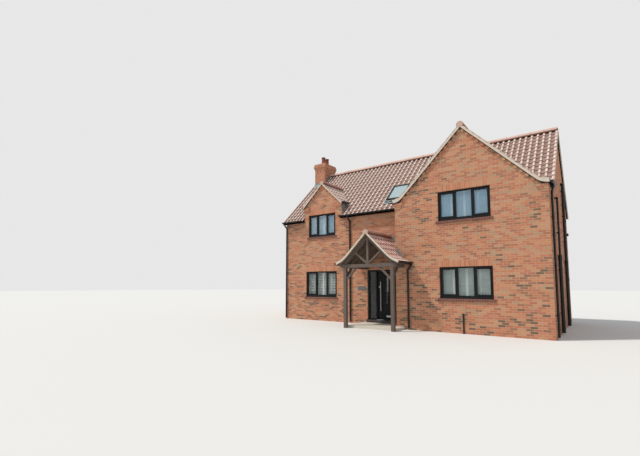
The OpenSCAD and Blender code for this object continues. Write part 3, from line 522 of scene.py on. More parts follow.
EAVE_TOP, WING_TOP = 4.64, 4.74
dormer_reach = gable_reach(dormer_at, DORMER_RIDGE - DORMER_SLAB, DORMER_FALL, DORMER_HALF)
front.courses(0, EAVE_TOP, all_along(front), front_holes)
front.courses(EAVE_TOP, DORMER_RIDGE, dormer_reach, front_holes)
wing_reach = gable_reach(WING_HALF, WING_RIDGE - WING_SLAB, 1, WING_HALF)
wing.courses(0, WING_RIDGE, lambda z: (0, wing.length) if z < WING_TOP else wing_reach(z), wing_holes)
wing_side.courses(0, WING_TOP, all_along(wing_side))
main_reach = gable_reach(HALF_D, RIDGE - MAIN_SLAB, MAIN_FALL, HALF_D)
right_reach = gable_reach(-WING_Y, RIDGE - MAIN_SLAB, MAIN_FALL, HALF_D)
right.courses(0, RIDGE, lambda z: (0, right.length) if z < EAVE_TOP else
              (0, right_reach(z)[1]) if z < WING_TOP else right_reach(z))


def left_reach(z):
    """The left gable with the side of the chimney stack that carries it on through the roof."""
    if z < EAVE_TOP:
        return 0, left.length
    ends = main_reach(z) or (HALF_D, HALF_D)
    return (min(ends[0], HALF_D - STACK_Y1), max(ends[1], HALF_D - STACK_Y0)) if z > STACK_FOOT else ends


left.courses(0, STACK_HEAD, left_reach, [(-PAST, PAST, STACK_HEAD, PAST)])
rear.courses(0, EAVE_TOP, all_along(rear), rear_holes)

for face, holes in ((front, front_holes[:2]), (wing, wing_holes[:2]), (rear, rear_holes[:4])):
    for s0, s1, low, head in holes:
        face.returns(s0, s1, low + SILL_DEEP, head)


def brick_piece(name, laid):
    """Laid bricks become one piece with their colours laid flat."""
    mesh = lay_flat(copies(name, one_brick, laid), one_brick, laid, 2, lambda normal: normal.y < -0.05)
    piece(name, mesh, facing)


one_brick = facing_brick()
for name, face in wall_faces.items():
    brick_piece(name, face.laid)
dress(mortar, "wing_front_wall", "wing_left_wall", "front_wall_left", "front_wall_right", "front_wall_over_door",
      "left_gable_wall", "right_gable_wall", "rear_wall")

# Pantile roofs
# Single roll clay pantiles, 209 mm between the rolls and about 285 mm to the course, hung
# on battens with each course lapping the one below. The lowest course tips into the gutter.
PITCH, GAUGE, TILE_T, LAP = 0.209, 0.285, 0.014, 0.06
SINK = 0.017  # of a tile's head under its foot, over one gauge
TILE_SECTION = ((-15, -22), (4, -38), (30, -49), (62, -53), (94, -50), (118, -40), (134, -26),
                (146, -12), (162, -1), (182, 0), (200, -6), (213, -18), (220, -31))


def draw_out(shape, way, edges=(), faces=()):
    """Draws edges out into a sheet, or faces into a solid."""
    if edges:
        swept = bmesh.ops.extrude_edge_only(shape, edges=edges)
    else:
        swept = bmesh.ops.extrude_face_region(shape, geom=faces)
    far = [v for v in swept["geom"] if isinstance(v, bmesh.types.BMVert)]
    bmesh.ops.translate(shape, vec=way, verts=far)


def clay_sheet(shape, way):
    """Draws the profile of a tile out, gives it its thickness on the under side and rounds it."""
    draw_out(shape, way, edges=shape.edges[:])
    bmesh.ops.recalc_face_normals(shape, faces=shape.faces[:])
    shape.faces.ensure_lookup_table()
    if shape.faces[len(shape.faces) // 2].normal.z < 0:
        bmesh.ops.reverse_faces(shape, faces=shape.faces[:])
    bmesh.ops.solidify(shape, geom=shape.faces[:], thickness=TILE_T)
    for face in shape.faces:
        face.smooth = True
    for edge in shape.edges:
        edge.smooth = edge.calc_face_angle(0) < math.radians(40)


def pantile():
    """One tile by its S-shaped section: x across from its left edge, y up the slope, its roll
    touching z = 0 at the lower end and its head one thickness deeper."""
    shape = bmesh.new()
    row = [shape.verts.new((x / 1000, 0, z / 1000)) for x, z in TILE_SECTION]
    for a, b in zip(row, row[1:]):
        shape.edges.new((a, b))
    length = GAUGE + LAP
    clay_sheet(shape, (0, length, -SINK * length / GAUGE))
    own_place = shape.verts.layers.float_vector.new("own_place")
    for v in shape.verts:
        v[own_place] = v.co
    return mesh_of(shape, "pantile")


def tile_colour(finish, base, pale, dark, bloom, dirt_and_shade=0.0):
    """Fired clay, each tile its own shade, blotched with pale bloom. With a weight for dirt and shade given, a
    painted highlight on the rolls and lower edges, painted shadow under the laps, and pans darkened by dirt and painted
    shade."""
    spot = finish.place()
    tone = finish.own("tone")
    patch = finish.noise(spot, 0.7, 4, 0.6)
    cloud = finish.noise(spot, 9, 4, 0.65)
    fine = finish.noise(spot, 160, 2)
    speck = finish.noise(spot, 38, 2) > 0.69
    shade = finish.ramp(tone * 0.7 + patch * 0.5 - 0.1, [(0.0, dark), (0.3, base), (0.7, base), (1.0, pale)])
    bloomed = finish.mix(((cloud - 0.35) * bloom).held(), shade, paint(240, 220, 206))
    worn_and_lit = finish.mix(speck * 0.35, bloomed, paint(96, 84, 70))
    if dirt_and_shade:
        _, up, deep = finish.split(finish.own("own_place", "Vector"))
        # Painted highlight: the crests of the rolls are painted near white, as if in sunlight.
        crest_highlight = ((deep + 0.034) * 30 + (cloud - 0.5) * 1.5).held()
        worn_and_lit = finish.mix(crest_highlight * 0.85, worn_and_lit, paint(254, 242, 234))
        # The pans are painted darker, partly for dirt and partly as painted shade; the head of each tile is darker
        # still, a painted shadow under the lap above.
        low = ((0 - deep - 0.012) * 26 + (cloud - 0.5) * 0.8).held()
        lap_shadow = ((up - 0.205) * 14 + (cloud - 0.5)).held()
        worn_and_lit = finish.mix(low * dirt_and_shade, worn_and_lit, paint(104, 66, 52))
        worn_and_lit = finish.mix(lap_shadow * 0.85, worn_and_lit, paint(72, 44, 38))
        # Painted highlight along the lower edge of each tile.
        worn_and_lit = finish.mix((0.012 - up > 0) * 0.4, worn_and_lit, paint(250, 234, 222))
    finish.wear(Base_Color=finish.mix(fine * 0.3, worn_and_lit, paint(150, 112, 96), "MULTIPLY"), Roughness=0.62 + cloud * 0.25)
    finish.relief(fine * 0.5 + cloud * 0.5, 0.003, 0.5)


old_clay = Finish("weathered_pantile", Specular_IOR_Level=0.45)
tile_colour(old_clay, paint(216, 176, 160), paint(234, 206, 194), paint(182, 134, 120), 1.5, 0.6)
new_clay = Finish("porch_pantile", Specular_IOR_Level=0.4)
tile_colour(new_clay, paint(206, 122, 96), paint(224, 152, 124), paint(172, 92, 72), 0.9, 0.6)
batten = Finish("dark_undercloak", Base_Color=paint(46, 40, 38), Roughness=0.9)
under = batten.place()
batten.relief(batten.noise(batten.scaled(under, (2, 2, 40)), 6, 3), 0.002)


def eased(p, q, r, n=4):
    """Points that ease one straight line into the next, round the corner q."""
    steps = [i / n for i in range(n + 1)]
    return [tuple((1 - t) ** 2 * a + 2 * t * (1 - t) * b + t * t * c for a, b, c in zip(p, q, r)) for t in steps]


def lifted(top, fall, bend, kick, end):
    """A tile line from the ridge out, with its lowest courses lifted beyond the bend."""
    low, soft = top - bend * fall, (end - bend) / 2
    return [(0, top)] + eased((bend - soft, low + soft * fall), (bend, low), (bend + soft, low - soft * kick)) + [
        (end, low - (end - bend) * kick)]


PORCH_X, PORCH_RIDGE = -0.085, 3.6205
WING_END, DORMER_END = 2.565, DORMER_HALF + 0.035
main_line = [(0, RIDGE), (MAIN_END, MAIN_EAVE)]
wing_line = lifted(WING_RIDGE, 1, 2.315, 0.19, WING_END)
dormer_line = [(0, DORMER_RIDGE), (DORMER_END, DORMER_RIDGE - DORMER_END * DORMER_FALL)]
porch_line = lifted(PORCH_RIDGE, 1, 0.98, 0.45, 1.3)
TIP, DORMER_TIP = 0.035, 0.012  # how far the lowest tiles reach over the eave
HEAD_GAP = 0.03  # from the ridge line down to the head of the top course
COVER = 0.05  # how deep a tile is in another roof before it is left out


def height(line, run):
    """The tile plane's height at a distance from under the ridge."""
    run = abs(run)
    for (r0, z0), (r1, z1) in zip(line, line[1:]):
        if run <= r1:
            break
    return z0 + (z1 - z0) * (run - r0) / (r1 - r0)


def down(line, s):
    """Run and height of a point s metres down the slope from the ridge."""
    for (r0, z0), (r1, z1) in zip(line, line[1:]):
        long = math.hypot(r1 - r0, z1 - z0)
        if s <= long:
            break
        last = long
        s -= long
    else:
        s += last
    return r0 + (r1 - r0) * s / long, z0 + (z1 - z0) * s / long


def slope_length(line):
    """From the ridge down the slope to the end of its line."""
    return sum(math.dist(p, q) for p, q in zip(line, line[1:]))


def tile_field(line, ridge, out, zones, hidden, holes=(), tip=TIP):
    """Places of the tiles on one slope. The ridge passes over a point and the slope falls
    outwards; zones are spans along it that each hold whole tiles; hidden says which points
    lie under something else."""
    out = Vector(out)
    side = Vector((-out.y, out.x, 0))
    origin = Vector((ridge[0], ridge[1], 0))
    total = slope_length(line) + tip - HEAD_GAP
    rows = round(total / GAUGE)
    gauge = total / rows
    laid = []

    def at(c, s):
        run, z = down(line, s)
        return origin + side * c + out * run + Vector((0, 0, z))

    for c0, c1 in zip(zones, zones[1:]):
        columns = max(1, round((c1 - c0) / PITCH))
        wide = (c1 - c0) / columns
        for i in range(columns):
            for j in range(rows):
                s1 = slope_length(line) + tip - j * gauge
                cell = (c0 + i * wide, c0 + (i + 1) * wide, s1 - gauge, s1)
                for a, b, s_up, s_low in left_over(cell, holes):
                    if all(hidden(at(c, s)) for c in (a, b) for s in (s_up, s_low)):
                        continue
                    up = (at(a, s_up) - at(a, s_low)).normalized()
                    turns = Matrix((side, up, side.cross(up))).transposed().to_euler()
                    sizes = ((b - a) / PITCH, (s_low - s_up) / GAUGE, 1)
                    laid.append((at(a, s_low), sizes, turns, dice.random(), (a, -s_low)))
    return laid


def roof_deck(name, node, tile_plane, drop=0.112):
    """The roof under its tiles: the CAD slab with its top face let down to the battens."""
    near = 0.004
    shape = bmesh.new()
    shape.from_mesh(parts[node].data)
    bmesh.ops.remove_doubles(shape, verts=shape.verts[:], dist=1e-5)
    for v in shape.verts:
        if abs(v.co.z - tile_plane(v.co)) < near:
            v.co.z -= drop
    piece(name, mesh_of(shape, name), batten, [node])


def under_wing(p):
    """Whether a point lies under the wing roof's tiles."""
    run = p.x - WING_X
    return abs(run) < WING_END and p.y > WING_Y - 0.1 and p.z < height(wing_line, run) - COVER


def under_dormer(p):
    """Whether a point lies under the half dormer's tiles."""
    run = p.x - DORMER_X
    return abs(run) < DORMER_HALF + 0.03 and p.z < height(dormer_line, run) - COVER


def in_stack(p):
    """Whether a point lies inside the chimney stack."""
    return p.x < STACK_X1 - 0.015 and STACK_Y0 + 0.01 < p.y < STACK_Y1 - 0.01


def main_plane(p):
    """The height of the main slopes' tiles over a point."""
    return RIDGE - abs(p.y) * MAIN_FALL


def under_main(p):
    """Whether a point lies under the main slopes' tiles."""
    return abs(p.y) < MAIN_END and p.z < main_plane(p) - COVER


def front_hidden(p):
    """Whether a point of the front slope lies in the roofs or the stack that come out of it."""
    return under_wing(p) or under_dormer(p) or in_stack(p)


def in_house(p):
    """Whether a point of the porch's roof lies behind the walls it leans on."""
    return p.y > -HALF_D + 0.02 or p.x > WING_LEFT + 0.02 and p.y > WING_Y + 0.02


def gabled_field(line, x, verge, back, hidden, cut=(), tip=TIP):
    """Both slopes of a roof over x whose verge faces the front. Its tiles start behind at
    back, and cut is taken out of the right slope."""
    return (tile_field(line, (x, 0), (-1, 0, 0), (back, verge - TO_RIGHT), hidden, tip=tip)
            + tile_field(line, (x, 0), (1, 0, 0), (-verge + TO_LEFT, -back), hidden, cut, tip))


one_tile = pantile()
VERGE_OUT = HALF_W + 0.078
TO_LEFT, TO_RIGHT = 0.028, 0.015  # from a verge's face to the first and the last tile of a course
WING_VERGE, DORMER_VERGE, PORCH_VERGE = 4.008, 3.098, 4.948
SLOPE = math.hypot(1, MAIN_FALL)  # along the slope for each metre out
SKY_X, SKY_HALF, SKY_S, SKY_UP, SKY_DOWN = 0.05, 0.46, 2.27 * SLOPE, 0.62, 0.6
VALLEY = 0.02  # between the half dormer and the tiles beside it
window_gap = [(SKY_X - SKY_HALF, SKY_X + SKY_HALF, SKY_S - SKY_UP, SKY_S + SKY_DOWN)]
wing_gap = [(-MAIN_END, 0, slope_length(wing_line) - 0.06, PAST)]
rear_zone = (-VERGE_OUT + TO_LEFT, VERGE_OUT - TO_RIGHT)
front_zones = (rear_zone[0], DORMER_X - DORMER_HALF - VALLEY, DORMER_X + DORMER_HALF + VALLEY,
               SKY_X - SKY_HALF, SKY_X + SKY_HALF, rear_zone[1])
fields = {
    "main_tiles_front": (tile_field(main_line, (0, 0), (0, -1, 0), front_zones, front_hidden, window_gap),
                         "main_roof_front"),
    "main_tiles_rear": (tile_field(main_line, (0, 0), (0, 1, 0), rear_zone, in_stack), "main_roof_rear"),
    "wing_tiles": (gabled_field(wing_line, WING_X, WING_VERGE, 0.3, under_main, wing_gap), "wing_roof"),
    "dormer_tiles": (gabled_field(dormer_line, DORMER_X, DORMER_VERGE, 1.2, under_main, tip=DORMER_TIP),
                     "dormer_roof"),
    "porch_tiles": (gabled_field(porch_line, PORCH_X, PORCH_VERGE, 3.0, in_house), "porch_roof")}
for name, (laid, node) in fields.items():
    slot, clay = ("porch_pantiles", new_clay) if node == "porch_roof" else ("clay_pantiles", old_clay)
    mesh = lay_flat(copies(name, one_tile, laid), one_tile, laid, 1,
                    lambda normal: normal.z > 0.05 or normal.y < -0.5)
    piece(name, mesh, clay, [node])

roof_deck("main_deck_front", "main_roof_front", main_plane)
roof_deck("main_deck_rear", "main_roof_rear", main_plane)
roof_deck("wing_deck", "wing_roof", lambda p: height(wing_line, p.x - WING_X))
roof_deck("dormer_deck", "dormer_roof", lambda p: height(dormer_line, p.x - DORMER_X), 0.106)
roof_deck("porch_deck", "porch_roof", lambda p: height(porch_line, p.x - PORCH_X), 0.1)

# Ridge tiles
# Half round red clay ridge tiles, 450 mm long, bedded on mortar over the top courses.
RIDGE_R, RIDGE_DROP, RIDGE_LONG = 0.122, 0.055, 0.45
ridge_clay = Finish("ridge_clay", Specular_IOR_Level=0.4)
tile_colour(ridge_clay, paint(196, 138, 118), paint(226, 190, 176), paint(156, 94, 78), 1.2)


def ridge_tile():
    """A half round tile along +X, open below."""
    shape = bmesh.new()
    bmesh.ops.create_circle(shape, segments=28, radius=RIDGE_R)
    bmesh.ops.delete(shape, geom=[v for v in shape.verts if v.co.y < -1e-4], context="VERTS")
    for axis in "XZ":
        bmesh.ops.rotate(shape, matrix=Matrix.Rotation(math.pi / 2, 3, axis), verts=shape.verts)
    clay_sheet(shape, (RIDGE_LONG - 0.008, 0, 0))
    return mesh_of(shape, "ridge_tile")


def ridge_run(start, end, painted_sunlight=0.0):
    """Whole ridge tiles under two points of a ridge. Those of the main roof are toned paler as painted sunlight, and
    the lower ridges, left darker, carry painted shade.
    """
    start, end = (Vector(point) - Vector((0, 0, RIDGE_DROP)) for point in (start, end))
    way = end - start
    count = round(way.length / RIDGE_LONG)
    turns = (0, 0, math.atan2(way.y, way.x))
    size = (way.length / count / RIDGE_LONG, 1, 1)
    return [(start + way * i / count, size, turns, dice.random() * 0.5 + painted_sunlight) for i in range(count)]


def meet(top):
    """How far from the main ridge a lower ridge runs into the main slope."""
    return -(RIDGE - top) / MAIN_FALL


# The main ridge's tiles take a paler tone, a painted sunlight; the lower ridges stay darker, a painted shade.
ridges = ridge_run((STACK_X1 + 0.005, 0, RIDGE), (HALF_W + 0.055, 0, RIDGE), 1.0)
for x, top, near, far in ((WING_X, WING_RIDGE, -0.002 - WING_VERGE, meet(WING_RIDGE) - 0.02),
                          (DORMER_X, DORMER_RIDGE, -0.002 - DORMER_VERGE, meet(DORMER_RIDGE) - 0.02),
                          (PORCH_X, PORCH_RIDGE, 0.001 - PORCH_VERGE, -HALF_D - 0.005)):
    ridges += ridge_run((x, near, top), (x, far, top))
piece("ridge_tile_runs", copies("ridge_tile_runs", ridge_tile(), ridges), ridge_clay)
bedding = Finish("ridge_bedding", Roughness=0.95)
bed_grit = bedding.noise(bedding.place(), 90, 3)
bedding.wear(Base_Color=bedding.mix(bed_grit, paint(150, 108, 92), paint(118, 84, 72)))
bedding.relief(bed_grit, 0.004, 0.7)
dress(bedding, "ridge_tiles")

# Verges
# Cream sand and lime mortar struck flush under the edge tiles, trowelled by hand.
verge_mortar = Finish("verge_mortar", Roughness=0.92)
spot = verge_mortar.place()
trowel = verge_mortar.noise(spot, 7, 4)
grain = verge_mortar.noise(spot, 210, 2)
cream = verge_mortar.mix(trowel, paint(228, 215, 198), paint(200, 184, 165))
x, _, z = verge_mortar.split(spot)
for ridge_x, ridge_z in ((WING_X, WING_RIDGE), (DORMER_X, DORMER_RIDGE), (PORCH_X, PORCH_RIDGE)):
    plug = 0.112 ** 2 - (x - ridge_x) ** 2 - (z - ridge_z + RIDGE_DROP) ** 2 > 0
    cream = verge_mortar.mix(plug * 0.8, cream, paint(196, 160, 144))
verge_mortar.wear(Base_Color=cream)
verge_mortar.relief(trowel * 0.6 + grain * 0.4, 0.004, 0.8)
dress(verge_mortar, "verges")


def take_arrises_off(shape, edges, width):
    """Cuts a narrow flat along the edges and gives what the cut made."""
    return bmesh.ops.bevel(shape, geom=edges, offset=width, segments=1, profile=0.5, affect="EDGES",
                           material=-1)


def edge_tile():
    """The turned down edge of a tile that is bedded on a verge, as wide as a whole tile."""
    shape = bmesh.new()
    under = -0.025
    block(shape, (0, 0, under), (PITCH, GAUGE + 0.02, -0.001))
    take_arrises_off(shape, shape.edges[:], 0.003)
    own_place = shape.verts.layers.float_vector.new("own_place")
    for v in shape.verts:
        v.co.z -= 0.006 * v.co.y / GAUGE
        v.co.x += (PITCH / 2 - v.co.x) * 0.07 * v.co.y / GAUGE
        # Every point of an edge tile is coloured as if at the depth of a pan, so it takes part of the pans' dirt and
        # painted shade.
        v[own_place] = (v.co.x, v.co.y, under)
    return mesh_of(shape, "edge_tile")


def edge_row(line, ridge, out, verge, proud, top=0.15, tip=TIP):
    """Edge tiles down one verge, from under the ridge tile to the eave."""
    way = math.copysign(1, verge)
    return tile_field(line, ridge, out, sorted((verge - way * 0.027, verge + way * proud)), lambda p: False,
                      [(-PAST, PAST, -1, top), (-PAST, PAST, slope_length(line) - 0.002, PAST)], tip)


FLUSH = -0.0005  # just inside the face of a verge
laid = []
for way, stack_end in ((-1, 0.915), (1, 0.487)):
    laid += edge_row(main_line, (0, 0), (0, way, 0), -way * VERGE_OUT, PROUD)
    laid += edge_row(main_line, (0, 0), (0, way, 0), way * VERGE_OUT, FLUSH, stack_end)
for line, x, verge, proud, tip in (
        (wing_line, WING_X, WING_VERGE, PROUD, TIP), (dormer_line, DORMER_X, DORMER_VERGE, PROUD, DORMER_TIP),
        (porch_line, PORCH_X, PORCH_VERGE, FLUSH, TIP)):
    for side in (-1, 1):
        laid += edge_row(line, (x, 0), (side, 0, 0), -side * verge, proud, tip=tip)
piece("verge_tiles", copies("verge_tiles", edge_tile(), laid), old_clay)

# Gable brickwork
# Half bricks stand out in a row under each rake of the two front gables, and three courses
# step out as a kneeler under the foot of each rake. They are bedded with the wall.
loose_brick = Finish("projecting_brick", Specular_IOR_Level=0.25)
brick_colour(loose_brick, (loose_brick.noise(loose_brick.place(), 2.4, 0) - 0.5) * 2.2 + 0.5)


def eased_edges(width, *names):
    """The sharp edges of CAD nodes are taken off by the width given."""
    for name in names:
        joined_up = parts[name].modifiers.new("joined", "WELD")
        joined_up.merge_threshold = 0.0001
        arris = parts[name].modifiers.new("arris", "BEVEL")
        arris.width, arris.segments, arris.limit_method = width, 1, "ANGLE"
        arris.angle_limit = math.radians(35)


def brick_block(shape, low, high, tone):
    """One whole brick between two corners, its arrises taken off, with its own tone."""
    edges = list({edge for v in block(shape, low, high) for edge in v.link_edges})
    for v in take_arrises_off(shape, edges, 0.003)["verts"]:
        v[shape.verts.layers.float["tone"]] = tone


KNEELER_W, KNEELER_IN, KNEELER_OUT, LEAST_CUT = 0.33, 0.06, 0.018, 0.03


def kneeler(shape, middle, y, half, top, side):
    """Bricks of the three stepped courses, set out from the outer end of the kneeler."""
    outer = middle + side * half
    for k in range(3):
        wide, out = KNEELER_W - KNEELER_IN * k, KNEELER_OUT * (3 - k)
        at, length = 0, HEADER if k % 2 else BRICK
        while wide - at > LEAST_CUT:
            length = min(length, wide - at)
            begin = -PROUD if at == 0 else at
            stop = at + length + (PROUD if at + length > wide - LEAST_CUT else 0)
            ends = sorted((outer - side * begin, outer - side * stop))
            brick_block(shape, (ends[0], y - out - PROUD, top - COURSE * (k + 1) + JOINT / 2 - 0.002),
                        (ends[1], y, top - COURSE * k - JOINT / 2), dice.random())
            at, length = at + length + JOINT, BRICK


WING_EAVE = 4.7
DORMER_SOFFIT = DORMER_RIDGE - DORMER_SLAB - DORMER_FALL * DORMER_HALF
corbels = bmesh.new()
corbels.verts.layers.float.new("tone")
for side in (-1, 1):
    kneeler(corbels, WING_X, WING_Y, WING_HALF, WING_EAVE, side)
    kneeler(corbels, DORMER_X, -HALF_D, DORMER_HALF, DORMER_SOFFIT - 0.02, side)
piece("kneeler_bricks", mesh_of(corbels, "kneeler_bricks"), facing)
dress(mortar, "kneelers")
dress(loose_brick, "dentil_courses")
eased_edges(0.004, "dentil_courses")

# Chimney
# A brick stack at the left end of the ridge with an oversailing head of four courses, a ring
# of headers below it with every other one painted dark as shade in a notch, a mortar cap and two clay pots.
STACK_X0, STACK_TOP, STACK_COURSES = -HALF_W, 8.29, 110
HEAD_OUTS = (0.025, 0.05, 0.05, 0.025)
SIDES_APART = 1.3  # in the map of its colours
lift = STACK_TOP - STACK_COURSES * COURSE
ring = STACK_TOP - COURSE * (len(HEAD_OUTS) + 2)


def stack_faces(out):
    """The faces of the stack, each moved out by the same distance."""
    x0, x1, y0, y1 = STACK_X0 - out, STACK_X1 + out, STACK_Y0 - out, STACK_Y1 + out
    starts = ((x0, y0, x1 - x0), (x1, y0, y1 - y0), (x1, y1, x1 - x0), (x0, y1, y1 - y0))
    return [Face(x, y, quarter, long, quarter % 2, SIDES_APART) for quarter, (x, y, long) in enumerate(starts)]


def notch_shade_headers(face, s0, s1):
    """A course of headers, every other one painted dark as the shade of a notch between them."""
    count = round((s1 - s0) / face.half)
    pitch = (s1 - s0) / count
    for i in range(count):
        header = (s0 + i * pitch, s0 + (i + 1) * pitch - JOINT, ring, ring + COURSE - JOINT)
        face.set_brick(header, -0.5 if i % 2 else 0.55 + 0.3 * dice.random())


shafts = stack_faces(0)[:3]
ring_hole = (-PAST, PAST, ring - SUNK, ring + COURSE - SUNK)
for face, foot in zip(shafts, (7.0, 6.95, 7.3)):
    face.courses(foot, STACK_TOP - COURSE * 4.9, all_along(face), [ring_hole], lift)
    notch_shade_headers(face, 0, face.length)
heads = []
for k, out in enumerate(HEAD_OUTS):
    low_side = STACK_COURSES * COURSE - COURSE * (len(HEAD_OUTS) - k)
    for face in stack_faces(out):
        face.phase += k
        face.courses(low_side, low_side + 0.05, all_along(face), first=lift)
        heads.append(face)
# The stack's bricks are toned darker and redder than the walls': partly their own colour, partly painted shade for the
# stack's shaded side.
laid = [(*brick[:3], brick[3] * 0.55 - 0.02, brick[4]) for face in shafts + heads for brick in face.laid]
brick_piece("chimney_bricks", laid)
dress(mortar, "chimney_stack")

SOOT_Z = 8.58  # where the soot round the mouths begins
pot_clay = Finish("pot_terracotta", Roughness=0.85)
spot = pot_clay.place()
level = pot_clay.split(spot)[2]
smoke = pot_clay.noise(pot_clay.scaled(spot, (8, 8, 3)), 1.5, 4)
fired = pot_clay.mix(smoke, paint(156, 88, 68), paint(122, 66, 54))
soot = (level - SOOT_Z) * 6 + (smoke - 0.5) * 1.6
pot_clay.wear(Base_Color=pot_clay.mix(soot.held(), fired, paint(62, 44, 42)))
pot_clay.relief(pot_clay.noise(spot, 120, 2), 0.002, 0.6)
dress(pot_clay, "chimney_pots")

# Window sills
# Plum coloured bricks on edge, 75 mm to the brick, sloped to throw the rain off the wall.
SILL = ((-0.048, -0.133), (-0.048, -0.067), (0, -0.037), (0.06, 0.003), (0.1, 0.003), (0.1, -0.133))
BRICK_T = 0.065


def sill_brick():
    """One brick on edge by its sloped side, middle at x = 0."""
    shape = bmesh.new()
    shape.faces.new([shape.verts.new((-BRICK_T / 2, y, z)) for y, z in SILL])
    draw_out(shape, (BRICK_T, 0, 0), faces=shape.faces[:])
    bmesh.ops.recalc_face_normals(shape, faces=shape.faces[:])
    take_arrises_off(shape, shape.edges[:], 0.004)
    return mesh_of(shape, "sill_brick")


plum = Finish("plum_sill_brick", Specular_IOR_Level=0.35)
spot = plum.place()
tone = plum.own("tone")
bloom = plum.noise(spot, 11, 4)
plum.wear(Base_Color=plum.mix(bloom, plum.mix(tone, paint(112, 66, 56), paint(142, 88, 74)), paint(104, 70, 62)),
          Roughness=0.6 + bloom * 0.25)
plum.relief(plum.noise(spot, 260, 2), 0.002, 0.6)

# Each window: its middle, its wall's face, its width, head and height
WINDOWS = [(WING_X, WING_Y, WIDE, LOW_HEAD, LOW_HIGH), (WING_X, WING_Y, WIDE, UP_HEAD, UP_HIGH),
           (DORMER_X - LOW_SHIFT, -HALF_D, WIDE, LOW_HEAD, FRONT_HIGH),
           (DORMER_X - UP_SHIFT, -HALF_D, NARROW, UP_HEAD, UP_HIGH)]
WINDOWS += [(x, HALF_D, WIDE, *size) for x in (-REAR_X, REAR_X) for size in REAR_SIZES]
laid = []
for middle, face_y, wide, head, high in WINDOWS:
    reach = wide / 2 + COURSE
    count = round(2 * reach / COURSE)
    pitch = 2 * reach / count
    turn = 0 if face_y < 0 else math.pi
    for i in range(count):
        x = middle - reach + (i + 0.5) * pitch
        laid.append(((x, face_y, head - high), (1, 1, 1), (0, 0, turn), dice.random()))
piece("sill_bricks", copies("sill_bricks", sill_brick(), laid), plum)
sill_mortar = Finish("sill_mortar", Base_Color=paint(142, 112, 96), Roughness=0.95)
sill_mortar.relief(sill_mortar.noise(sill_mortar.place(), 260, 2), 0.002, 0.5)
dress(sill_mortar, "window_sills")

# Window frames and sashes
# Black aluminium with a fine powder coat, mitred and screwed together, fixed back in the
# reveals. The side lights open; the middle one is glazed into the frame.
black_coat = Finish("black_powder_coat", Base_Color=paint(13, 14, 17), Specular_IOR_Level=0.25)
spot = black_coat.place()
black_coat.wear(Roughness=black_coat.noise(spot, 3, 3) * 0.2 + 0.34)
black_coat.relief(black_coat.noise(spot, 900, 1), 0.0004, 0.3)
dress(black_coat, "window_frames", "window_sashes", "roof_window", "door_frame")
eased_edges(0.002, "window_frames", "window_sashes", "roof_window", "door_frame")


def drip_sill(shape, middle, face_y, wide, foot):
    """The pressed sill under a frame, from its glazing line out over the bricks to a turned lip."""
    out = 1 if face_y < 0 else -1
    profile = ((0.062, 0.003), (0.062, 0.016), (-0.004, -0.024), (-0.006, -0.042), (-0.012, -0.042),
               (-0.01, -0.016))
    end = [shape.verts.new((middle - wide / 2, face_y + out * y, foot + z)) for y, z in profile]
    draw_out(shape, (wide, 0, 0), faces=[shape.faces.new(end)])


drips = bmesh.new()
for middle, face_y, wide, head, high in WINDOWS:
    drip_sill(drips, middle, face_y, wide - 0.008, head - high)
bmesh.ops.recalc_face_normals(drips, faces=drips.faces[:])
piece("drip_sills", mesh_of(drips, "drip_sills"), black_coat)

# Glass
# Sealed units whose colour is painted reflection, of the blue sky upstairs, the ground below and pale sky in patches;
# the door's panes are darker.
UPSTAIRS, LEFT_PANES = 2.8, -3.25


def glass(name, upstairs_reflection, downstairs_reflection, patch_reflection, share, more=0.0, right=0.0):
    """Clear glass coloured with painted reflections: the sky upstairs, the ground below, pale patches of sky, and more
    sky on the left panes upstairs.
    """
    made = Finish(name, Roughness=0.04, Specular_IOR_Level=0.9)
    spot = made.place()
    reflection_patch = made.noise(spot, 1.1, 3)
    x, _, z = made.split(spot)
    upstairs = z > UPSTAIRS
    # Painted reflection of bright sky on the left panes upstairs.
    left_pane_reflection = upstairs * (LEFT_PANES - x > 0) * 0.35
    colour = made.mix(upstairs, downstairs_reflection, upstairs_reflection)
    made.wear(Base_Color=made.mix(reflection_patch * 0.5 + left_pane_reflection, colour, patch_reflection),
              Alpha=reflection_patch * 0.1 + upstairs * more + left_pane_reflection * more + (x > 0) * right + (share - 0.05))
    return made


# The pale sky, the blue sky and the ground as painted reflections; the roof window's pale pane is painted sky too.
pale_sky_reflection, roof_sky_reflection, door_tint = paint(200, 222, 230), paint(192, 214, 218), paint(26, 31, 33)
sky_reflection, ground_reflection = paint(108, 164, 200), paint(104, 126, 116)
dress(glass("window_glass", sky_reflection, ground_reflection, pale_sky_reflection, 0.15, 0.1, 0.07), "window_glass")
dress(glass("roof_window_glass", roof_sky_reflection, roof_sky_reflection, pale_sky_reflection, 0.6), "roof_window_glass")
dress(glass("door_side_glass", door_tint, door_tint, paint(44, 48, 48), 0.5), "side_glass", "door_glass")

# Plantation shutters
# White painted panels hinged inside the front windows. Three are shut, so their blades lie
# nearly upright over each other, coloured greyer as painted shade; the blades of the left one on the ground floor stand
# open.
white_paint = Finish("shutter_white", Roughness=0.4)
white_paint.wear(Base_Color=white_paint.mix(white_paint.noise(white_paint.place(), 2, 3), paint(250, 250, 246),
                                            paint(240, 240, 236)))
dress(white_paint, "plantation_shutters")


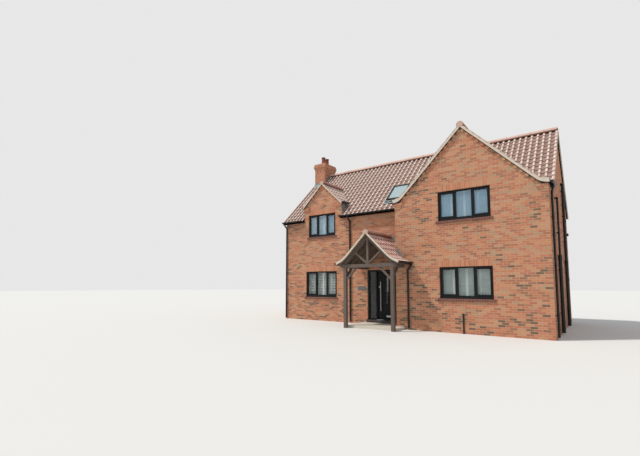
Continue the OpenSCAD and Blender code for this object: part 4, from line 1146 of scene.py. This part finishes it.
def shutter_blade():
    """An oval blade along X, one metre long and 80 mm high, its top leaning out."""
    shape = bmesh.new()
    bmesh.ops.create_circle(shape, segments=12, radius=0.5, cap_ends=True)
    bmesh.ops.scale(shape, vec=(0.008, 0.08, 1), verts=shape.verts)
    bmesh.ops.rotate(shape, matrix=Matrix(((0, 0, 1), (1, 0, 0), (0, 1, 0))), verts=shape.verts)
    bmesh.ops.rotate(shape, matrix=Matrix.Rotation(math.radians(20), 3, "X"), verts=shape.verts)
    draw_out(shape, (1, 0, 0), faces=shape.faces[:])
    bmesh.ops.recalc_face_normals(shape, faces=shape.faces[:])
    return mesh_of(shape, "shutter_blade")


STILE, RAIL, BLADE_PITCH, BLADES_IN = 0.042, 0.052, 0.07, 0.183
laid = []
for middle, face_y, wide, head, high in (WINDOWS[0], WINDOWS[1], WINDOWS[3]):
    panel = wide / 4
    count = round((high - 2 * RAIL) / BLADE_PITCH)
    pitch = (high - 2 * RAIL) / count
    for i in range(4):
        for k in range(count):
            x = middle - wide / 2 + i * panel + STILE
            z = head - high + RAIL + (k + 0.5) * pitch
            laid.append(((x, face_y + BLADES_IN, z), (panel - 2 * STILE, 1, 1), (0, 0, 0), dice.random()))
# The blades are white like the panels; their grey stands for painted shade between them.
shaded_blade_paint = Finish("blade_white_painted_shade", Roughness=0.45)
shaded_blade_paint.wear(Base_Color=shaded_blade_paint.mix(shaded_blade_paint.own("tone"), paint(192, 199, 194), paint(206, 211, 206)))
piece("shutter_blades", copies("shutter_blades", shutter_blade(), laid), shaded_blade_paint)

# Lead
# Milled lead dressed in steps up the stack and over the porch roof, a tray round the roof
# window and the cheeks of the half dormer, dulled by the weather with paler runs.
milled = Finish("weathered_lead", Metallic=0.35)
spot = milled.place()
patina = milled.noise(spot, 5, 5, 0.6)
runs = milled.noise(milled.scaled(spot, (14, 14, 1.2)), 1, 3)
milled.wear(Base_Color=milled.mix(runs, milled.mix(patina, paint(88, 99, 103), paint(120, 130, 134)),
                                  paint(148, 156, 158)), Roughness=0.45 + patina * 0.25)
milled.relief(milled.noise(spot, 9, 2), 0.006, 0.5)
dress(milled, "lead_flashings", "dormer_cheeks")


def apron(shape, zone, columns, s0, flat):
    """A lead sheet on the front slope, flat at its head and dressed down over the rolls and
    pans of the first tiles of a zone."""
    wide = (zone[1] - zone[0]) / max(1, round((zone[1] - zone[0]) / PITCH))
    over, upright = 0.012, 1.38  # the lead's height over the tiles, and how steep that is here
    (run0, top0), (run1, top1), (run2, top2) = (down(main_line, s0 + s) for s in (0, 0.05, 0.17))
    row = [shape.verts.new((zone[0] + (i + x / 1000 / PITCH) * wide, -run1, top1 + (z / 1000 + over) * upright))
           for i in range(columns) for x, z in TILE_SECTION[1:-2]]
    edges = [shape.edges.new(pair) for pair in zip(row, row[1:])]
    for upper in (False, True):
        swept = bmesh.ops.extrude_edge_only(shape, edges=edges)
        for v in (v for v in swept["geom"] if isinstance(v, bmesh.types.BMVert)):
            v.co = (v.co.x, -run0, top0 + flat) if upper else v.co + Vector((0, run1 - run2, top2 - top1))


aprons = bmesh.new()
apron(aprons, front_zones[:2], 4, 0.655 * SLOPE, 0.075)
apron(aprons, front_zones[3:5], 4, SKY_S + 0.55, 0.014)
bmesh.ops.recalc_face_normals(aprons, faces=aprons.faces[:])
bmesh.ops.reverse_faces(aprons, faces=[f for f in aprons.faces if f.normal.z < 0])
bmesh.ops.solidify(aprons, geom=aprons.faces[:], thickness=0.002)
for face in aprons.faces:
    face.smooth = True
piece("lead_aprons", mesh_of(aprons, "lead_aprons"), milled)

# Rainwater goods
# Black PVC half round gutters clipped to black eaves boards, with round pipes down to the
# ground, soil pipes up the right gable, and its flue end and lamps.
plastic = Finish("black_plastic", Specular_IOR_Level=0.35)
spot = plastic.place()
dust = plastic.noise(spot, 7, 4)
plastic.wear(Base_Color=plastic.mix(dust * 0.45, paint(17, 18, 21), paint(52, 50, 50)),
             Roughness=dust * 0.25 + 0.28)
dress(plastic, "gutters", "downpipes", "soil_pipes", "gable_fittings", "service_duct", "eaves_boards")

# Oak porch
# Green oak posts, tie beam, king post truss, braces and rafters, mortised together and held by
# oak pegs. It has weathered to a silvery grey brown with drying checks along the grain.
oak = Finish("weathered_oak", Roughness=0.8)
grain = oak.own("grain", "Vector")
tone = oak.own("tone")
wander = oak.noise(oak.scaled(grain, (6, 6, 0.7)), 1, 3, output=1)
bent = oak.node("Mix", {"data_type": "RGBA", "blend_type": "LINEAR_LIGHT"}, {0: 0.012, 6: grain, 7: wander}, 2)
gx, gy, _ = oak.split(bent)
rings = ((gx * gx + gy * gy) ** 0.5 * 150).fraction()
fibre = oak.noise(oak.scaled(grain, (210, 210, 5)), 1, 3, 0.6)
crack = oak.noise(oak.scaled(grain, (38, 38, 1.1)), 1, 3, 0.5)
weather = oak.noise(grain, 2.3, 4, 0.6)
bare = oak.mix(rings * 0.4, paint(106, 89, 80), paint(86, 71, 63))
grey = oak.mix(weather, bare, paint(122, 109, 103))
deep = oak.mix(tone * 0.5, grey, paint(92, 78, 66))
lined = oak.mix((fibre - 0.42) * 2.2, deep, paint(78, 66, 58))
split_open = oak.ramp(crack, [(0.0, (0, 0, 0, 1)), (0.68, (0, 0, 0, 1)), (0.7, (1, 1, 1, 1))])
oak.wear(Base_Color=oak.mix(split_open, lined, paint(44, 37, 33)))
oak.relief(fibre * 0.35 - split_open, 0.003, 0.9)

POST_X, POST_Y, POST_W, TIE_Z, TIE_H, TIE_HALF = 0.985, -4.82, 0.125, 2.275, 0.13, 1.155
TRUSS_IN, TRUSS_OUT = 0.02, 0.11  # from the posts' front to the truss's front and back
PLATE_Z, TRUSS_APEX, TRUSS_Y = TIE_Z + TIE_H, PORCH_RIDGE - 0.14, POST_Y + TRUSS_IN
truss_mid = POST_Y + (TRUSS_IN + TRUSS_OUT) / 2
HALF_ROOT, ROOT = 0.707, 1.414  # of two, for what runs at 45 degrees


def timber(shape, start, end, faces, wide, deep, cuts=()):
    """One sawn length from start to end. It is wide across the direction of faces and deep
    across the third direction; each cut is a point and the way it takes the waste off."""
    start, end = Vector(start), Vector(end)
    along = (end - start).normalized()
    across = Vector(faces).normalized()
    place = Matrix((across, along.cross(across), along)).transposed().to_4x4()
    place.translation = start
    back = place.inverted()
    sawn = bmesh.new()
    grain, tone = sawn.verts.layers.float_vector.new("grain"), sawn.verts.layers.float.new("tone")
    block(sawn, (-wide / 2, -deep / 2, 0), (wide / 2, deep / 2, (end - start).length))
    for point, away in cuts:
        cut = bmesh.ops.bisect_plane(
            sawn, geom=sawn.verts[:] + sawn.edges[:] + sawn.faces[:], plane_co=back @ Vector(point),
            plane_no=back.to_3x3() @ Vector(away), clear_outer=True)
        rim = [e for e in cut["geom_cut"] if isinstance(e, bmesh.types.BMEdge)]
        bmesh.ops.holes_fill(sawn, edges=rim)
    bmesh.ops.recalc_face_normals(sawn, faces=sawn.faces[:])
    take_arrises_off(sawn, sawn.edges[:], 0.004)
    pith = Vector((dice.uniform(-0.05, 0.05), dice.uniform(-0.05, 0.05), dice.uniform(0, 40)))
    shade = dice.random()
    for v in sawn.verts:
        v[grain], v[tone] = v.co + pith, shade
    bmesh.ops.transform(sawn, matrix=place, verts=sawn.verts)
    sawn_mesh = mesh_of(sawn, "sawn")
    shape.from_mesh(sawn_mesh)
    bpy.data.meshes.remove(sawn_mesh)


def oak_piece(name, shape):
    """A frame of timbers takes the place of its CAD node."""
    piece(name + "_timbers", mesh_of(shape, name), oak, [name])


def timbers():
    """An empty frame whose points can hold the place of their grain and their timber's tone."""
    shape = bmesh.new()
    shape.verts.layers.float_vector.new("grain")
    shape.verts.layers.float.new("tone")
    return shape


posts = timbers()
for side in (-1, 1):
    x = PORCH_X + side * POST_X
    timber(posts, (x, POST_Y + POST_W / 2, 0), (x, POST_Y + POST_W / 2, TIE_Z), (1, 0, 0), POST_W, POST_W)
oak_piece("porch_posts", posts)

beams = timbers()
mid_z = TIE_Z + TIE_H / 2
timber(beams, (PORCH_X - TIE_HALF, POST_Y + POST_W / 2, mid_z), (PORCH_X + TIE_HALF, POST_Y + POST_W / 2, mid_z),
       (0, 1, 0), POST_W, TIE_H)
for side, rear_y in ((-1, -HALF_D), (1, WING_Y)):
    x = PORCH_X + side * POST_X
    timber(beams, (x, POST_Y + POST_W, mid_z), (x, rear_y, mid_z), (1, 0, 0), POST_W, TIE_H)
oak_piece("porch_beams", beams)

RAFTER_D, KING_W, STRUT_W, TRUSS_T = 0.092, 0.09, 0.075, 0.09
STRUT_RUN, STRUT_RISE, JOWL_OUT, JOWL_H = 0.552, 0.46, 0.025, 0.14
rise = TRUSS_APEX - PLATE_Z
drop = RAFTER_D * HALF_ROOT
on_plate = ((0, 0, PLATE_Z), (0, 0, -1))
truss = timbers()
for side in (-1, 1):
    timber(truss, (PORCH_X, truss_mid, TRUSS_APEX - drop), (PORCH_X + side * rise, truss_mid, PLATE_Z - drop),
           (0, 1, 0), TRUSS_T, RAFTER_D, [((PORCH_X, 0, 0), (-side, 0, 0)), on_plate])
    timber(truss, (PORCH_X, truss_mid, PLATE_Z), (PORCH_X + side * STRUT_RUN, truss_mid, PLATE_Z + STRUT_RISE),
           (0, 1, 0), TRUSS_T - 0.004, STRUT_W,
           [((PORCH_X + side * KING_W / 2, 0, 0), (-side, 0, 0)), on_plate,
            ((PORCH_X, 0, TRUSS_APEX - RAFTER_D * ROOT), (side * HALF_ROOT, 0, HALF_ROOT))])
timber(truss, (PORCH_X, truss_mid, PLATE_Z), (PORCH_X, truss_mid, TRUSS_APEX), (0, 1, 0), TRUSS_T + 0.002, KING_W,
       [((PORCH_X, 0, TRUSS_APEX), (HALF_ROOT * side, 0, HALF_ROOT)) for side in (-1, 1)])
for side in (-1, 1):
    x = PORCH_X + side * (KING_W / 2 + 0.011)
    timber(truss, (x, truss_mid, PLATE_Z), (x, truss_mid, PLATE_Z + JOWL_H), (0, 1, 0), TRUSS_T + 0.002, 0.028,
           [((PORCH_X + side * (KING_W / 2 + JOWL_OUT), 0, PLATE_Z + 0.09), (side * 0.894, 0, 0.447))])
oak_piece("porch_truss", truss)

braces = timbers()
BRACE_W, BRACE_T, BRACE_REACH, FRONT_REACH, IN_POST = 0.08, 0.06, 0.42, 0.49, 0.06
inner = POST_X - POST_W / 2
under_tie = ((0, 0, TIE_Z), (0, 0, 1))
for side in (-1, 1):
    x, y = PORCH_X + side * inner, POST_Y + POST_W / 2
    timber(braces, (x + side * IN_POST, y, TIE_Z - FRONT_REACH), (x - side * FRONT_REACH, y, TIE_Z + IN_POST),
           (0, 1, 0), BRACE_T, BRACE_W, [((x, 0, 0), (side, 0, 0)), under_tie])
    x, y = PORCH_X + side * POST_X, POST_Y + POST_W
    timber(braces, (x, y - IN_POST, TIE_Z - BRACE_REACH), (x, y + BRACE_REACH, TIE_Z + IN_POST),
           (1, 0, 0), BRACE_T, BRACE_W, [((0, y, 0), (0, -1, 0)), under_tie])
oak_piece("porch_braces", braces)

rafters = timbers()
RAFTER_PITCH, RAFTER_T, RAFTER_DEEP, PAST_CUT = 0.42, 0.05, 0.095, 0.1
foot = POST_X + POST_W / 2 + 0.05
depth = RAFTER_DEEP * HALF_ROOT / 2
for y in (POST_Y + RAFTER_PITCH * k for k in (1, 2, 3, 4)):
    for side in (-1, 1):
        if side > 0 and y > WING_Y:
            reach, end_cut = WING_LEFT - PORCH_X, ((WING_LEFT, 0, 0), (1, 0, 0))
        else:
            reach, end_cut = foot, ((PORCH_X + side * foot, 0, 0), (side, 0, 0))
        timber(rafters, (PORCH_X, y, TRUSS_APEX - depth),
               (PORCH_X + side * (reach + PAST_CUT), y, TRUSS_APEX - depth - reach - PAST_CUT),
               (0, 1, 0), RAFTER_T, depth * ROOT, [((PORCH_X, 0, 0), (-side, 0, 0)), end_cut])
oak_piece("porch_rafters", rafters)


def peg():
    """A tapered oak peg with eight sides, its head towards -Y."""
    shape = bmesh.new()
    bmesh.ops.create_cone(shape, cap_ends=True, segments=8, radius1=0.0105, radius2=0.009, depth=0.03)
    bmesh.ops.rotate(shape, matrix=Matrix.Rotation(math.pi / 2, 3, "X"), verts=shape.verts)
    bmesh.ops.translate(shape, vec=(0, 0.006, 0), verts=shape.verts)
    return mesh_of(shape, "peg")


pegs = []
for side in (-1, 1):
    x, brace_x = PORCH_X + side * POST_X, PORCH_X + side * inner
    pegs += [(x - 0.025, POST_Y, TIE_Z + 0.04), (x + 0.025, POST_Y, TIE_Z + 0.09),
             (brace_x + side * 0.03, POST_Y, TIE_Z - 0.42), (brace_x - side * 0.42, POST_Y, TIE_Z + 0.035),
             (PORCH_X + side * 0.018, TRUSS_Y, PLATE_Z + 0.06),
             (PORCH_X + side * 0.02, TRUSS_Y, TRUSS_APEX - 0.12 - 0.03 * side),
             (PORCH_X + side * 0.5, TRUSS_Y, PLATE_Z + 0.46), (PORCH_X + side * 0.95, TRUSS_Y, PLATE_Z + 0.055)]
laid = [(point, (1, 1, 1), (0, dice.uniform(0, 3), 0), dice.random()) for point in pegs]
peg_oak = Finish("oak_peg", Roughness=0.75)
peg_oak.wear(Base_Color=peg_oak.mix(peg_oak.own("tone"), paint(120, 98, 78), paint(158, 136, 112)))
piece("oak_pegs", copies("oak_pegs", peg(), laid), peg_oak)

# Porch boarding
# Sawn oak boards 120 mm wide across the rafters, seen from below and at the front edge.
BOARD_W = 0.12
boarding = Finish("porch_boards", Roughness=0.85)
spot = boarding.place()
x, y, z = boarding.split(spot)
down_slope = abs(x - PORCH_X) * (ROOT / BOARD_W)
joint = abs(down_slope.fraction() - 0.5) > 0.47
board = boarding.node("TexWhiteNoise", {"noise_dimensions": "1D"}, {"W": down_slope.floored()})
streak = boarding.noise(boarding.scaled(spot, (70, 2, 70)), 1, 4, 0.6)
sawn_oak = boarding.mix(streak, paint(142, 122, 98), paint(98, 80, 64))
shaded = boarding.mix(board * 0.4, sawn_oak, paint(90, 74, 60))
boarding.wear(Base_Color=boarding.mix(joint, shaded, paint(34, 28, 24)))
boarding.relief(streak * 0.3 - joint, 0.004, 0.8)
dress(boarding, "porch_boarding")

# Porch slab and step
# A pale smooth slab under the porch and a dark tiled step with a rounded nosing at the door.
pale_stone = Finish("pale_slab", Roughness=0.75)
spot = pale_stone.place()
cloud = pale_stone.noise(spot, 2.2, 5, 0.6)
grit = pale_stone.noise(spot, 170, 2)
pale_stone.wear(Base_Color=pale_stone.mix(grit * 0.4, pale_stone.mix(cloud, paint(226, 216, 202), paint(206, 197, 184)),
                                          paint(176, 166, 152)))
pale_stone.relief(grit, 0.002, 0.5)
dress(pale_stone, "porch_slab")
eased_edges(0.006, "porch_slab")
dark_tile = Finish("dark_step_tile", Roughness=0.55)
spot = dark_tile.place()
cloud = dark_tile.noise(spot, 6, 4)
dark_tile.wear(Base_Color=dark_tile.mix(cloud, paint(62, 54, 54), paint(84, 72, 68)), Roughness=0.5 + cloud * 0.25)
dark_tile.relief(cloud, 0.003, 0.5)
dress(dark_tile, "door_step")
eased_edges(0.006, "door_step")

# Front door
# A black composite leaf with a narrow glazed light, hung on three hinges at its right edge,
# with a brushed steel pull bar, lock rose, letter plate and threshold.
leaf_paint = Finish("door_black", Base_Color=paint(6, 6, 8), Roughness=0.4, Specular_IOR_Level=0.2)
leaf_paint.relief(leaf_paint.noise(leaf_paint.scaled(leaf_paint.place(), (60, 60, 4)), 1, 4), 0.0006, 0.3)
dress(leaf_paint, "front_door")
eased_edges(0.002, "front_door")
brushed = Finish("brushed_steel", Metallic=1.0)
spot = brushed.place()
hair = brushed.noise(brushed.scaled(spot, (60, 60, 900)), 1, 2)
brushed.wear(Base_Color=brushed.mix(hair, paint(186, 188, 190), paint(164, 166, 168)), Roughness=0.26 + hair * 0.16)
dress(brushed, "door_handle", "letter_plate", "door_hinges")
eased_edges(0.0015, "letter_plate")

threshold = bmesh.new()
block(threshold, (-0.465, -0.026, -0.0015), (0.465, 0.026, 0.0015))
slope = Matrix.Rotation(math.atan2(0.018, 0.085), 3, "X")
bmesh.ops.rotate(threshold, matrix=slope, verts=threshold.verts)
bmesh.ops.translate(threshold, vec=(-0.215, -2.9875, 0.2075), verts=threshold.verts)
take_arrises_off(threshold, threshold.edges[:], 0.001)
piece("threshold_strip", mesh_of(threshold, "threshold_strip"), brushed)

# Wall plaque
# A bare riven slate plaque screwed to the wall left of the door.
riven = Finish("riven_slate", Roughness=0.6)
spot = riven.place()
layer = riven.noise(riven.scaled(spot, (7, 7, 16)), 1, 5, 0.6)
riven.wear(Base_Color=riven.mix(layer, paint(84, 92, 92), paint(112, 118, 116)), Roughness=0.5 + layer * 0.25)
riven.relief(layer, 0.004, 0.7)
dress(riven, "wall_plaque")
eased_edges(0.003, "wall_plaque")

# Floors
# A concrete ground slab and a boarded upper floor, seen only through the windows.
screed = Finish("floor_screed", Roughness=0.9)
screed.wear(Base_Color=screed.mix(screed.noise(screed.place(), 5, 4), paint(150, 147, 140), paint(122, 118, 112)))
dress(screed, "ground_floor")
boards = Finish("floor_boards", Roughness=0.55)
spot = boards.place()
across = boards.split(spot)[1] / 0.14
seam = abs(across.fraction() - 0.5) > 0.48
streak = boards.noise(boards.scaled(spot, (2, 60, 60)), 1, 3)
planed = boards.mix(streak, paint(176, 142, 104), paint(146, 112, 78))
boards.wear(Base_Color=boards.mix(seam, planed, paint(60, 44, 32)))
dress(boards, "upper_floor")

bpy.context.view_layer.update()
low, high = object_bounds()
